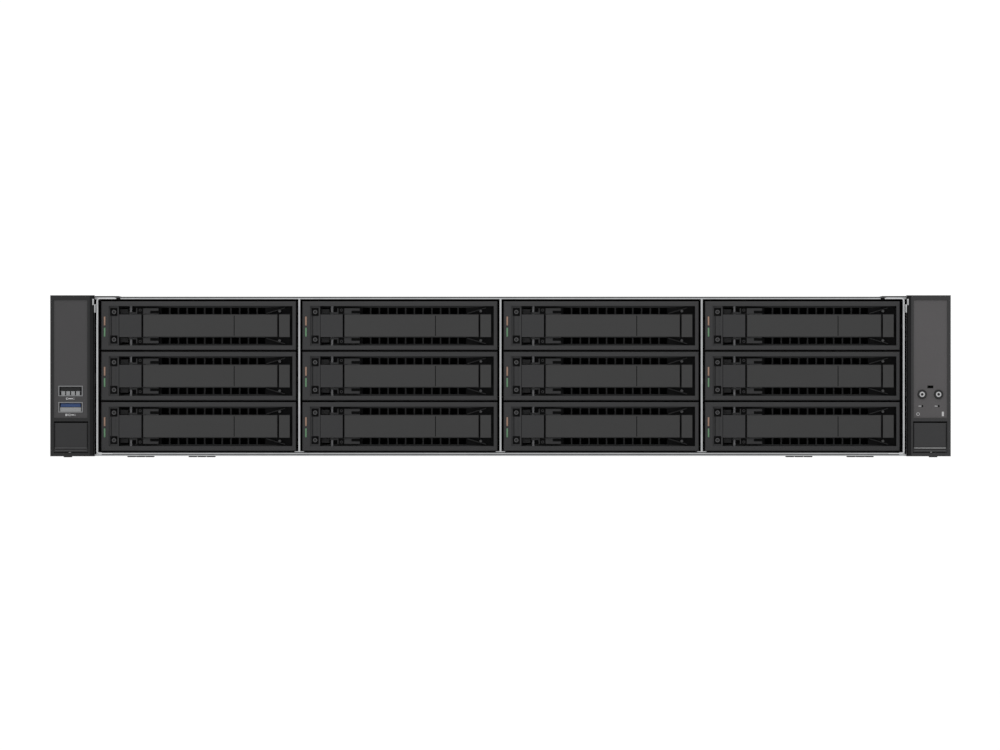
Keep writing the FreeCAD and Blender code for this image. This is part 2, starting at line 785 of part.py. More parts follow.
def drive_cage():
    reach_side = "(cage_side_gap + rail_thick - slide_fit)"
    reach_middle = "((bay_pitch_x - carrier_width - divider_wall) / 2 + rail_thick - slide_fit)"
    outer = f"{CAGE_INNER} + wall"
    left = cage_plate("left_plate", f"-({outer})", f"-{CAGE_INNER}", [(1, reach_side)])
    right = cage_plate("right_plate", CAGE_INNER, outer, [(-1, reach_side)])
    solids = [
        box("cage_floor", (f"-({outer})", outer), (EDGE, BACKPLANE), (FLOOR, CAGE_FLOOR)),
        box("front_cover", (f"-{SIDE}", SIDE), span(EDGE, "cover_split"), span(ROOF, "wall")),
        fuse("cage_left_plate", left),
        fuse("cage_right_plate", right),
    ]
    for i in range(COLUMNS - 1):
        middle = f"({i - (COLUMNS - 2) / 2}) * bay_pitch_x"
        low, high = centred(middle, "divider_wall")
        pieces = cage_plate(f"divider_{i}", low, high, [(1, reach_middle), (-1, reach_middle)])
        pieces.append(
            box(
                f"divider_foot_{i}",
                centred(middle, "divider_foot_width"),
                (EDGE, BACKPLANE),
                (CAGE_FLOOR, f"{CAGE_FLOOR} + divider_foot_height"),
            )
        )
        solids.append(fuse(f"cage_divider_{i}", pieces))
    return group("drive_cage", solids)


# ---------------------------------------------------------------- case
def foot_ribs():
    """Three short pressed ribs side by side, in two groups on each side, at the front and at the rear."""
    rows = ((EDGE, "+"), (f"{REAR} - foot_length", "-"))
    ribs = []
    for edge, sign in rows:
        low = f"{edge} {sign} foot_from_edge"
        for side in ("", "-"):
            for where in ("foot_group_near", "foot_group_far"):
                for step in (-1, 0, 1):
                    middle = f"{side}{where} + {step} * foot_pitch"
                    ribs.append(
                        box(
                            f"foot_rib_{len(ribs)}",
                            centred(middle, "foot_width"),
                            (low, f"{low} + foot_length"),
                            ("0", "foot_height + wall / 2"),
                        )
                    )
    return ribs


SIDE_SCREW_HEIGHTS = [f"side_screw_low + {i} * side_screw_pitch" for i in range(SIDE_SCREWS)]
SIDE_SCREW_Y = f"({FACE} + ear_depth + flange_thick + side_screw_setback)"
STUD_PLACES = (
    "rail_stud_first",
    "rail_stud_first + rail_stud_spacing",
    "rail_stud_second",
    "rail_stud_second + rail_stud_spacing",
)
STUD_HEIGHT = "(foot_height + body_height / 2)"


def side_holes(name, radius, low, high):
    """Screw holes through a side, for the ear brackets."""
    return [
        rod(f"{name}_{i}", radius, "x", low, high, (SIDE_SCREW_Y, height))
        for i, height in enumerate(SIDE_SCREW_HEIGHTS)
    ]


def case_tray():
    floor = box("case_floor", (f"-{SIDE}", SIDE), (EDGE, REAR), ("foot_height", FLOOR))
    left = box("case_left", (f"-{SIDE}", f"-{SIDE} + wall"), (EDGE, REAR), ("foot_height", ROOF))
    right = box("case_right", (f"{SIDE} - wall", SIDE), (EDGE, REAR), ("foot_height", ROOF))
    studs = []
    for i, where in enumerate(STUD_PLACES):
        across = (f"{EDGE} + {where}", STUD_HEIGHT)
        inner, outer = f"{SIDE} - wall / 2", f"{SIDE} + rail_stud_length"
        studs.append(rod(f"stud_right_{i}", "rail_stud_radius", "x", inner, outer, across))
        studs.append(rod(f"stud_left_{i}", "rail_stud_radius", "x", f"-({outer})", f"-({inner})", across))
    shell = fuse("case_shell", [floor, left, right, *studs, *foot_ribs()])
    hole = "screw_radius + screw_fit"
    inner, outer = f"{SIDE} - wall - cut_past", f"{SIDE} + cut_past"
    holes = side_holes("left_hole", hole, f"-({outer})", f"-({inner})")
    holes += side_holes("right_hole", hole, inner, outer)
    return cut("case_tray", shell, holes)


# Middle of each rear socket in X, with its width and height.
PORTS = {
    "network_port_1": ("rear_port_at", "network_width", "network_height"),
    "network_port_2": ("rear_port_at + rear_port_pitch", "network_width", "network_height"),
    "usb_stack": ("rear_port_at + 2 * rear_port_pitch", "usb_stack_width", "usb_stack_height"),
    "serial_port": ("rear_port_at + 3 * rear_port_pitch", "network_width", "network_height"),
    "video_port": ("video_at", "video_width", "video_height"),
}
SLOT_BANKS = {
    "left": f"({BOARD_LEFT} + slot_bank_from_board)",
    "right": f"({BOARD_LEFT} + slot_bank_from_board + slot_window_width + slot_bank_gap)",
}


def rear_panel():
    inner = f"({SIDE} - wall)"
    sheet_metal = box("rear_sheet", (f"-{inner}", inner), (f"{REAR} - wall", REAR), (FLOOR, ROOF))
    through = (f"{REAR} - wall - cut_past", f"{REAR} + cut_past")
    windows = [
        box(
            "supply_window",
            (f"{SUPPLY_LEFT} - supply_fit", inner),
            through,
            (FLOOR, f"{SHELF} + shelf_wall + supply_height + supply_fit * 2"),
        )
    ]
    for name, (middle, width, height) in PORTS.items():
        windows.append(
            box(
                name + "_window",
                centred(middle, f"{width} + 2 * port_fit"),
                through,
                (f"{BOARD_TOP} - port_fit", f"{BOARD_TOP} + {height} + port_fit"),
            )
        )
    for bank, left in SLOT_BANKS.items():
        for i in range(SLOTS):
            low = f"slot_lowest + {i} * slot_pitch"
            across, up = span(left, "slot_window_width"), span(low, "slot_window_height")
            windows.append(box(f"slot_window_{bank}_{i}", across, through, up))
    # exhaust slots right of the slot banks, and under the left bank
    high = ("exhaust_base", "exhaust_base + exhaust_height")
    for i in range(EXHAUST_SLOTS):
        left = f"{SLOT_BANKS['right']} + slot_window_width + exhaust_from_bank + {i} * exhaust_pitch"
        windows.append(box(f"exhaust_{i}", (left, f"{left} + exhaust_width"), through, high))
    low = ("low_exhaust_base", "low_exhaust_base + low_exhaust_height")
    for i in range(LOW_EXHAUST_SLOTS):
        left = f"{SLOT_BANKS['left']} + {i} * low_exhaust_pitch"
        windows.append(box(f"low_exhaust_{i}", (left, f"{left} + low_exhaust_width"), through, low))
    return cut("rear_panel", sheet_metal, windows)


def supply_bay():
    """The wall and shelf that guide the two power supplies."""
    rear = f"{REAR} - wall"
    front = f"{REAR} - supply_length - bay_wall_past"
    upright = box("bay_wall", span(BAY_WALL, "shelf_wall"), (front, rear), (FLOOR, f"{ROOF} - slide_fit"))
    shelf = box(
        "bay_shelf",
        (f"{BAY_WALL} + shelf_wall / 2", f"{SIDE} - wall"),
        (f"{REAR} - supply_length", rear),
        (SHELF, f"{SHELF} + shelf_wall"),
    )
    return fuse("supply_bay", [upright, shelf])


def top_cover():
    start = f"{EDGE} + cover_split + cover_gap"
    inner = f"({SIDE} - wall - slide_fit)"
    plate = box("cover_sheet", (f"-{SIDE}", SIDE), (start, REAR), (ROOF, f"{ROOF} + wall"))
    skirts = []
    for name, low, high in (("left", f"-{inner}", f"-{inner} + wall"), ("right", f"{inner} - wall", inner)):
        skirts.append(
            box(
                f"skirt_{name}",
                (low, high),
                (f"{FAN_REAR} + wall + slide_fit", f"{REAR} - supply_length - skirt_before_supplies"),
                (f"{ROOF} - skirt_height", ROOF),
            )
        )
    grips = []
    along = (f"{start} + grip_from_joint", f"{start} + grip_from_joint + grip_length")
    deep = (f"{ROOF} + wall - grip_depth", f"{ROOF} + wall + cut_past")
    for name, middle in (("left", "-grip_at"), ("right", "grip_at")):
        grips.append(box(f"grip_{name}", centred(middle, "grip_width"), along, deep))
    return group("top_cover", [cut("cover_plate", plate, grips), *skirts])


# ---------------------------------------------------------------- ears
def side_span(side, low, high):
    """A span measured inwards from the outer edge of the left (-1) or right (+1) ear."""
    if side < 0:
        return (f"-rack_width / 2 + {low}", f"-rack_width / 2 + {high}")
    return (f"rack_width / 2 - ({high})", f"rack_width / 2 - ({low})")


def side_at(side, inwards):
    return f"-rack_width / 2 + {inwards}" if side < 0 else f"rack_width / 2 - ({inwards})"


EAR_TOP = "(ear_base + ear_height)"
EAR_BACK = f"({FACE} + ear_depth)"
PIVOT_Z = "(door_base + door_height - door_pivot_drop)"
PIVOT_Y = f"({FACE} + door_pivot_depth)"
CAVITY = ("ear_wall", "panel_left + panel_width - panel_ledge")     # room behind an ear's panel
THROUGH_PANEL = (f"{FACE} - cut_past", f"{FACE} + panel_depth + ear_wall + cut_past")


def ear_housing(side, name, openings):
    up = ("ear_base", EAR_TOP)
    front = box(f"{name}_front", side_span(side, "0", "ear_width"), (FACE, f"{FACE} + ear_front_depth"), up)
    beside_case = side_span(side, "0", f"rack_width / 2 - {SIDE} - slide_fit")
    rear = box(f"{name}_rear", beside_case, (f"{FACE} + ear_front_depth / 2", EAR_BACK), up)
    foot = (side_at(side, "ear_boss_from_edge"), f"{FACE} + ear_boss_depth")
    boss_top = "ear_base + screw_room_floor / 2"
    boss = rod(f"{name}_boss", "ear_boss_radius", "z", "ear_boss_bottom", boss_top, foot)
    shell = fuse(f"{name}_shell", [front, rear, boss])
    door_span = side_span(side, "door_left - door_gap", "door_left + door_width + door_gap")
    pocket_top = "door_base + door_height + door_top_gap"
    front_skin = (f"{FACE} - cut_past", f"{FACE} + panel_depth")
    behind = f"{EAR_BACK} + cut_past"
    pocket_back = f"{FACE} + door_pocket_depth"
    tools = [
        box(
            f"{name}_panel_seat", side_span(side, "panel_left", "panel_left + panel_width"),
            front_skin, ("panel_base", "panel_base + panel_height"),
        ),
        box(
            f"{name}_cavity", side_span(side, *CAVITY), (f"{FACE} + panel_depth + ear_wall", behind),
            ("panel_base + cavity_floor", f"{EAR_TOP} - ear_wall"),
        ),
        box(
            f"{name}_door_seat", door_span,
            (f"{FACE} - cut_past", pocket_back), ("door_base - door_gap * 2", pocket_top),
        ),
        box(
            f"{name}_screw_room", door_span,
            (pocket_back, behind), ("ear_base + screw_room_floor", pocket_top),
        ),
    ]
    pin_room = "(door_pin_length + door_gap + slide_fit)"
    tools.append(
        rod(
            f"{name}_pivot_hole", "door_pin_radius + turn_fit", "x",
            *side_span(side, f"door_left - {pin_room}", f"door_left + door_width + {pin_room}"),
            (PIVOT_Y, PIVOT_Z),
        )
    )
    merged = fuse(f"{name}_room", tools)
    return cut(f"{name}_housing", shell, [merged, *openings])


def ear_bracket(side, name):
    """The steel bracket behind an ear: rack flange, leg along the case and a tab over it."""
    case_side = f"rack_width / 2 - {SIDE}"
    flange_back = f"{EAR_BACK} + flange_thick"
    up = ("ear_base", EAR_TOP)
    flange = box(f"{name}_flange", side_span(side, "0", case_side), (EAR_BACK, flange_back), up)
    leg = box(
        f"{name}_leg", side_span(side, f"{case_side} - leg_thick", case_side),
        (EAR_BACK, f"{flange_back} + leg_length"), ("ear_base + leg_margin", f"{EAR_TOP} - leg_margin"),
    )
    tab = box(
        f"{name}_tab", side_span(side, "tab_inset", f"{case_side} + tab_width"),
        (EAR_BACK, f"{EAR_BACK} + tab_length"), (f"{ROOF} + wall", f"{ROOF} + wall + tab_thick"),
    )
    plate = fuse(f"{name}_plate", [flange, leg, tab])
    hole = rod(
        f"{name}_rack_hole", "rack_hole_radius", "y", f"{EAR_BACK} - cut_past", f"{flange_back} + cut_past",
        ("rack_hole_spacing / 2" if side > 0 else "-rack_hole_spacing / 2", "rack_hole_height"),
    )
    low, high = side_span(side, f"{case_side} - leg_thick - cut_past", f"{case_side} + cut_past")
    leg_holes = side_holes(f"{name}_leg_hole", "screw_radius + screw_fit", low, high)
    return cut(f"{name}_bracket", plate, [hole, *leg_holes])


def control_board(side, name, low, high):
    """The small board behind an ear's panel, held in the grooves of the cavity."""
    return box(
        f"{name}_board",
        side_span(side, *CAVITY),
        (f"{FACE} + control_board_depth", f"{FACE} + control_board_depth + board_thick"),
        (low, high),
    )


def port_openings():
    holes = []
    for i in range(2):
        holes.append(
            box(
                f"front_port_hole_{i}",
                centred(side_at(-1, "port_from_edge"), "port_shell_width + 2 * port_fit"),
                THROUGH_PANEL,
                centred(f"port_height_low + {i} * port_pitch", "port_shell_height + 2 * port_fit"),
            )
        )
    return holes


BUTTONS = {"power_button": "button_near", "id_button": "button_near + button_spacing"}


def button_openings():
    holes = []
    for name, inwards in BUTTONS.items():
        middle = (side_at(1, inwards), "button_height")
        lower = (side_at(1, inwards), "button_height - pinhole_drop")
        holes.append(rod(f"{name}_hole", "button_radius + button_fit", "y", *THROUGH_PANEL, middle))
        holes.append(rod(f"{name}_pinhole", "pinhole_radius", "y", *THROUGH_PANEL, lower))
    across = centred(side_at(1, "button_near + button_spacing / 2"), "status_window_width")
    up = centred("button_height + status_window_rise", "status_window_height")
    holes.append(box("status_window", across, THROUGH_PANEL, up))
    return holes


def front_port(i):
    """A USB socket: a folded steel shell with its plastic tongue."""
    middle = side_at(-1, "port_from_edge")
    height = f"port_height_low + {i} * port_pitch"
    depth = span(f"{FACE} + panel_depth", "port_shell_length")
    up = centred(height, "port_shell_height")
    outer = box(f"port_outer_{i}", centred(middle, "port_shell_width"), depth, up)
    inner = box(
        f"port_inner_{i}",
        centred(middle, "port_shell_width - 2 * port_shell_wall"),
        (f"{depth[0]} - cut_past", f"{depth[1]} - port_shell_back"),
        centred(height, "port_shell_height - 2 * port_shell_wall"),
    )
    shell = cut(f"port_shell_{i}", outer, [inner])
    tongue = box(
        f"port_tongue_{i}",
        centred(middle, "port_shell_width - 2 * port_tongue_margin"),
        (f"{depth[0]} + port_tongue_inset", f"{depth[1]} - port_shell_back"),
        (f"{height} + port_tongue_rise", f"{height} + port_tongue_rise + port_tongue_thick"),
    )
    return [shell, tongue]


def push_button(name, inwards):
    across = (side_at(1, inwards), "button_height")
    inside = f"{FACE} + panel_depth + ear_wall"
    cap = rod(f"{name}_cap", "button_radius", "y", f"{FACE} - button_proud", f"{inside} + slide_fit", across)
    flange = span(f"{inside} + button_flange_gap", "button_flange_thick")
    collar = rod(f"{name}_collar", "button_flange", "y", *flange, across)
    stem = rod(f"{name}_stem", "button_stem", "y", f"{inside}", f"{FACE} + button_length", across)
    return fuse(name, [cap, collar, stem])


def rack_door(side, name):
    across = side_span(side, "door_left", "door_left + door_width")
    front = f"{FACE} + door_inset"
    plate = box(f"{name}_plate", across, span(front, "door_thick"), span("door_base", "door_height"))
    ridge = box(
        f"{name}_ridge",
        side_span(side, "door_left + door_ridge_inset", "door_left + door_width - door_ridge_inset"),
        (FACE, f"{front} + door_groove_depth"),
        ("door_base + door_ridge_rise", "door_base + door_ridge_rise + door_ridge_height"),
    )
    pin = rod(
        f"{name}_pin", "door_pin_radius", "x",
        *side_span(side, "door_left - door_pin_length", "door_left + door_width + door_pin_length"),
        (PIVOT_Y, PIVOT_Z),
    )
    groove = box(
        f"{name}_groove", across, (f"{front} - cut_past", f"{front} + door_groove_depth"),
        ("door_base + door_groove_rise", "door_base + door_groove_rise + door_groove_height"),
    )
    return cut(name, fuse(f"{name}_solid", [plate, ridge, pin]), [groove])


# ---------------------------------------------------------------- backplane
def backplane():
    inner = f"({SIDE} - wall - slide_fit)"
    up = (FLOOR, f"{ROOF} - slide_fit")
    board = box("backplane_board", (f"-{inner}", inner), span(BACKPLANE, "backplane_thick"), up)
    slots, connectors = [], []
    for number, x, z in bay_places():
        slots.append(
            box(
                f"backplane_slot_{number}",
                centred(f"{x} + backplane_slot_offset", "backplane_slot_width"),
                (f"{BACKPLANE} - cut_past", f"{BACKPLANE} + backplane_thick + cut_past"),
                centred(f"{z}", "backplane_slot_height"),
            )
        )
        connectors.append(
            box(
                f"drive_connector_{number}",
                centred(f"{x} - connector_offset", "connector_width"),
                (f"{BACKPLANE} - connector_length", BACKPLANE),
                (f"{z} - connector_drop - connector_height", f"{z} - connector_drop"),
            )
        )
    return group("backplane", [cut("backplane_sheet", board, slots), *connectors])


# ---------------------------------------------------------------- fans
def fan_places():
    for i in range(FANS):
        yield i + 1, f"({i - (FANS - 1) / 2}) * fan_pitch"


FAN_Z = f"({FLOOR} + fan_side / 2)"
MOTOR_FRONT = "(fan_depth - fan_motor_depth)"


def fan_frame():
    """One fan's frame about its own axis, with its inlet at Y = 0."""
    body = doc.addObject("PartDesign::Body", "fan_frame")
    half = "(fan_side / 2)"
    outline = rectangle(sketch(body, "fan_outline"), (f"-{half}", half), (f"-{half}", half))
    feature(body, "Pad", "fan_block", outline, "fan_depth", back=True)
    feature(body, "Pocket", "fan_bore", circle(sketch(body, "bore_outline"), "fan_bore"))
    holes = sketch(body, "fan_screw_outlines")
    for x in ("", "-"):
        for z in ("", "-"):
            circle(holes, "fan_screw_radius", f"{x}fan_screw_spacing / 2", f"{z}fan_screw_spacing / 2")
    feature(body, "Pocket", "fan_screw_holes", holes)
    offset = f"-{MOTOR_FRONT}"
    struts = sketch(body, "strut_outlines", offset=offset)
    rim = "(fan_side / 2 + fan_bore) / 2"
    rectangle(struts, (f"-{rim}", rim), ("-fan_strut / 2", "fan_strut / 2"))
    feature(body, "Pad", "cross_strut", struts, f"fan_depth - {MOTOR_FRONT}", back=True)
    upright = sketch(body, "upright_outline", offset=offset)
    rectangle(upright, ("-fan_strut / 2", "fan_strut / 2"), (f"-{rim}", rim))
    feature(body, "Pad", "upright_strut", upright, f"fan_depth - {MOTOR_FRONT}", back=True)
    motor = circle(sketch(body, "motor_outline", offset=offset), "fan_motor_radius")
    feature(body, "Pad", "motor_seat", motor, f"fan_depth - {MOTOR_FRONT}", back=True)
    shaft = circle(sketch(body, "shaft_outline", offset=offset), "fan_shaft")
    feature(body, "Pad", "shaft", shaft, "fan_shaft_length")
    return body


def fan_rotor():
    """Hub and blades about the fan's axis."""
    end = f"({MOTOR_FRONT} - slide_fit)"
    hub = rod("rotor_hub", "fan_hub", "y", "fan_hub_inset", end, ("0", "0"))
    blades = []
    for i in range(BLADES):
        blade = doc.addObject("Part::Box", f"blade_{i}")
        bind(blade, "Length", "blade_thick")
        bind(blade, "Width", "blade_depth")
        bind(blade, "Height", "blade_reach - fan_hub + blade_root")
        # stands on the hub, then leans about its own radius and is turned round the axis
        lean = Rotation(Vector(0, 0, 1), SIZES["blade_tilt"])
        place(blade, "-blade_thick / 2", "-blade_depth / 2", "fan_hub - blade_root")
        leaning = copy_at(f"leaning_blade_{i}", blade, turn=lean)
        round_axis = Rotation(Vector(0, 1, 0), 360.0 * i / BLADES)
        middle = f"(fan_hub_inset + {end}) / 2"
        blades.append(copy_at(f"turned_blade_{i}", leaning, y=middle, turn=round_axis))
    bore_start = f"{MOTOR_FRONT} - fan_shaft_length - 2 * cut_past"
    bore = rod("rotor_bore", "fan_shaft + turn_fit", "y", bore_start, f"{end} + cut_past", ("0", "0"))
    return cut("rotor_form", fuse("rotor_solid", [hub, *blades]), [bore])


def fan_frames():
    frame = fan_frame()
    solids = [copy_at(f"fan_frame_{i}", frame, x, FAN_FRONT, FAN_Z) for i, x in fan_places()]
    inner = f"({SIDE} - wall - slide_fit)"
    up = (FLOOR, f"{ROOF} - slide_fit")
    wall = box("fan_wall_sheet", (f"-{inner}", inner), span(FAN_REAR, "wall"), up)
    through = (f"{FAN_REAR} - cut_past", f"{FAN_REAR} + wall + cut_past")
    holes = [rod(f"fan_wall_hole_{i}", "fan_bore", "y", *through, (x, FAN_Z)) for i, x in fan_places()]
    solids.append(cut("fan_wall", wall, holes))
    return group("fan_frames", solids)


# ---------------------------------------------------------------- power supplies
# Modelled from the left rear bottom corner: X to the right, the rear face at Y = 0, the inside at -Y.
INLET_Z = "(supply_height / 2)"
TRIGGER_X = "(supply_width - trigger_inset - trigger_thick / 2)"
TRIGGER_Z = "(supply_height / 2)"


def power_supply():
    block = box("supply_block", ("0", "supply_width"), ("-supply_length", "0"), ("0", "supply_height"))
    inlet = box(
        "inlet_room", centred("inlet_at", "inlet_width"),
        ("-inlet_depth", "cut_past"), centred(INLET_Z, "inlet_height"),
    )
    fan_axis = ("supply_fan_at", INLET_Z)
    fan_room = rod("supply_fan_room", "supply_fan_radius", "y", "-supply_fan_recess", "cut_past", fan_axis)
    left = "supply_width - trigger_inset - trigger_thick - trigger_room"
    trigger_room = box(
        "trigger_room_solid", (left, "supply_width + cut_past"),
        ("-trigger_length - trigger_room_past", "cut_past"),
        centred(TRIGGER_Z, "trigger_height + 2 * slide_fit"),
    )
    hollow = cut("supply_hollow", block, [inlet, fan_room, trigger_room])
    additions = [
        rod(
            "supply_fan_hub_boss", "supply_fan_hub", "y",
            "-supply_fan_recess - cut_past", "-supply_fan_hub_inset", fan_axis,
        ),
        rod(
            "trigger_pin", "trigger_pin_radius", "z", *centred(TRIGGER_Z, "trigger_height + 2 * cut_past"),
            (TRIGGER_X, "-trigger_length"),
        ),
        box(
            "edge_tongue", centred("supply_width / 2", "edge_tongue_width"),
            ("-supply_length - edge_tongue_length", "-supply_length + cut_past"),
            centred(INLET_Z, "board_thick"),
        ),
    ]
    blades = (
        ("0", "inlet_pin_spread / 2"),
        ("inlet_pin_spread", "-inlet_pin_drop"),
        ("-inlet_pin_spread", "-inlet_pin_drop"),
    )
    for i, (x, z) in enumerate(blades):
        additions.append(
            box(
                f"inlet_pin_{i}",
                centred(f"inlet_at + {x}", "inlet_pin_width"),
                ("-inlet_depth - cut_past", "-inlet_pin_inset"),
                centred(f"{INLET_Z} + {z}", "inlet_pin_height"),
            )
        )
    across = centred("handle_at", "handle_width")
    low, high = centred(INLET_Z, "handle_height")
    foot = ("-cut_past", "handle_reach - cut_past")
    additions += [
        box("handle_bar_solid", across, ("handle_reach - handle_bar", "handle_reach"), (low, high)),
        box("handle_foot_low", across, foot, span(low, "handle_bar")),
        box("handle_foot_high", across, foot, (f"{high} - handle_bar", high)),
    ]
    return fuse("supply_form", [hollow, *additions])


def supply_trigger():
    """The spring trigger at the right of a supply, on its pin."""
    x = centred(TRIGGER_X, "trigger_thick")
    z = centred(TRIGGER_Z, "trigger_height")
    arm = box("trigger_arm", x, ("-trigger_length", "trigger_reach"), z)
    end = ("trigger_reach - trigger_grip_length", "trigger_reach")
    grip = box("trigger_grip", (f"{TRIGGER_X} - trigger_grip_width", TRIGGER_X), end, z)
    pivot = (TRIGGER_X, "-trigger_length")
    knuckle = rod("trigger_knuckle_solid", "trigger_knuckle", "z", *z, pivot)
    past = centred(TRIGGER_Z, "trigger_height + 2 * cut_past")
    eye = rod("trigger_eye", "trigger_pin_radius + turn_fit", "z", *past, pivot)
    return cut("trigger_form", fuse("trigger_solid", [arm, grip, knuckle]), [eye])


def supply_places():
    yield 1, f"{FLOOR} + supply_fit"
    yield 2, f"{SHELF} + shelf_wall + supply_fit"


# ---------------------------------------------------------------- system board and what stands on it
PROCESSOR_Y = f"({BOARD_FRONT} + processor_from_front)"
RISER_FRONT = f"({REAR} - riser_from_rear - riser_length)"
BOARD_MIDDLE = f"({BOARD_LEFT} + board_width / 2)"


def processor_places():
    for i, sign in enumerate(("-", "+")):
        yield i + 1, f"({BOARD_MIDDLE} {sign} processor_spacing / 2)"


STANDOFF_PITCH_Y = f"(({BOARD_REAR} - standoff_from_rear - {BOARD_FRONT} - standoff_y) / 2)"
STANDOFFS = [
    (
        f"{BOARD_LEFT} + standoff_x + {column} * standoff_pitch_x",
        f"{BOARD_FRONT} + standoff_y + {row} * {STANDOFF_PITCH_Y}",
    )
    for row in range(3)
    for column in range(3)
]
POWER_SOCKET_REAR = f"({REAR} - supply_length - edge_tongue_length - slide_fit)"
POWER_BOARD_REAR = f"({POWER_SOCKET_REAR} - power_socket_length)"


def socketed(name, middle, width, height):
    """A rear socket: a block on the board's rear edge with a room that opens to the rear."""
    face = f"{REAR} + port_proud"
    along = (f"{face} - rear_port_length", face)
    solid = box(name + "_block", centred(middle, width), along, span(BOARD_TOP, height))
    room = box(
        name + "_room",
        centred(middle, f"{width} - 2 * rear_port_wall"),
        (f"{face} - rear_port_depth", f"{face} + cut_past"),
        (f"{BOARD_TOP} + rear_port_floor", f"{BOARD_TOP} + {height} - rear_port_top"),
    )
    return cut(name, solid, [room])


def system_board():
    top = f"{FLOOR} + standoff"
    loose = "screw_radius + screw_fit"
    plate = box("board_plate", span(BOARD_LEFT, "board_width"), (BOARD_FRONT, BOARD_REAR), (top, BOARD_TOP))
    holes, solids = [], []
    for i, (x, y) in enumerate(STANDOFFS):
        through = (f"{top} - cut_past", f"{BOARD_TOP} + cut_past")
        holes.append(rod(f"board_hole_{i}", loose, "z", *through, (x, y)))
        post = rod(f"standoff_post_{i}", "standoff_radius", "z", FLOOR, top, (x, y))
        bore = rod(f"standoff_bore_{i}", loose, "z", f"{top} - standoff_bore", f"{top} + cut_past", (x, y))
        solids.append(cut(f"standoff_{i}", post, [bore]))
    solids.append(cut("board_sheet", plate, holes))
    for i, x in processor_places():
        solids += processor(i, x)
    for name, (middle, width, height) in PORTS.items():
        if name == "video_port":
            face = f"{REAR} + port_proud"
            along = (f"{face} - rear_port_length", face)
            solids.append(box(name, centred(middle, width), along, span(BOARD_TOP, height)))
        else:
            solids.append(socketed(name, middle, width, height))
    solids.append(
        box(
            "control_chip_sink",
            centred(f"{BOARD_MIDDLE} + chip_sink_at_x", "chip_sink_side"),
            centred(f"{BOARD_REAR} - chip_sink_from_rear", "chip_sink_side"),
            span(BOARD_TOP, "chip_sink_height"),
        )
    )
    battery = (f"{BOARD_MIDDLE} + battery_at_x", f"{BOARD_REAR} - battery_from_rear")
    solids.append(rod("clock_battery", "battery_radius", "z", *span(BOARD_TOP, "battery_height"), battery))
    return group("system_board", solids + power_board())


def processor(i, x):
    """A processor's socket, and the memory slots and modules on both sides of it."""
    along = centred(PROCESSOR_Y, "socket_length")
    socket = box(f"processor_socket_{i}", centred(x, "socket_width"), along, span(BOARD_TOP, "socket_height"))
    solids = [socket]
    slot_top = f"{BOARD_TOP} + memory_slot_height"
    slot_along = centred(PROCESSOR_Y, "memory_slot_length")
    module_along = centred(PROCESSOR_Y, "memory_length")
    for side in ("-", "+"):
        for k in range(MEMORY_EACH_SIDE):
            middle = f"{x} {side} (sink_width / 2 + memory_from_sink + {k} * memory_pitch)"
            tag = f"{i}_{'left' if side == '-' else 'right'}_{k}"
            wide, narrow = centred(middle, "memory_slot_width"), centred(middle, "memory_thick")
            solids.append(box(f"memory_slot_{tag}", wide, slot_along, (BOARD_TOP, slot_top)))
            solids.append(box(f"memory_module_{tag}", narrow, module_along, span(slot_top, "memory_height")))
    return solids


def power_board():
    """The upright board at the inner end of the supplies, with a socket for each."""
    across = span(SUPPLY_LEFT, "supply_width")
    along = (f"{POWER_BOARD_REAR} - board_thick", POWER_BOARD_REAR)
    solids = [box("power_board", across, along, (FLOOR, f"{ROOF} - power_board_gap"))]
    for i, z in supply_places():
        solids.append(
            box(
                f"power_socket_{i}",
                centred(f"{SUPPLY_LEFT} + supply_width / 2", "edge_tongue_width + 2 * power_socket_past"),
                (POWER_BOARD_REAR, POWER_SOCKET_REAR),
                centred(f"{z} + supply_height / 2", "power_socket_height"),
            )
        )
    return solids


def heat_sinks():
    body = doc.addObject("PartDesign::Body", "heat_sink_form")
    along = ("-sink_length / 2", "sink_length / 2")
    base = sketch(body, "sink_base_outline", "XY_Plane")
    rectangle(base, ("-sink_width / 2", "sink_width / 2"), along)
    feature(body, "Pad", "sink_plate", base, "sink_base")
    fin = rectangle(
        sketch(body, "fin_outline", "XY_Plane", offset="sink_base"),
        centred(f"-{FINS - 1} / 2 * fin_pitch", "fin_thick"),
        along,
    )
    pad = feature(body, "Pad", "fin", fin, "sink_height - sink_base")
    doc.recompute()
    row = body.newObject("PartDesign::LinearPattern", "fins")
    row.Originals = [pad]
    row.Direction = (fin, ["H_Axis"])
    row.Occurrences = FINS
    bind(row, "Length", f"{FINS - 1} * fin_pitch")
    body.Tip = row
    doc.recompute()
    base_z = f"{BOARD_TOP} + socket_height"
    copies = [copy_at(f"heat_sink_{i}", body, x, PROCESSOR_Y, base_z) for i, x in processor_places()]
    return group("heat_sinks", copies)


def air_duct():
    left = f"({BOARD_LEFT} + duct_inset)"
    right = f"({BOARD_LEFT} + board_width - duct_inset)"
    depth = (f"{BOARD_FRONT} - duct_before_board", f"{RISER_FRONT} - duct_to_risers")
    on_board = (f"{BOARD_FRONT} + duct_wall_from_edge", depth[1])
    roof = box("duct_roof", (left, right), depth, span(f"{BOARD_TOP} + duct_height - duct_wall", "duct_wall"))
    pieces = [roof]
    for name, low, high in (
        ("left", left, f"{left} + duct_wall"),
        ("middle", f"{BOARD_MIDDLE} - duct_wall / 2", f"{BOARD_MIDDLE} + duct_wall / 2"),
        ("right", f"{right} - duct_wall", right),
    ):
        up = span(BOARD_TOP, "duct_height - duct_wall / 2")
        pieces.append(box(f"duct_{name}", (low, high), on_board, up))
    return fuse("air_duct", pieces)


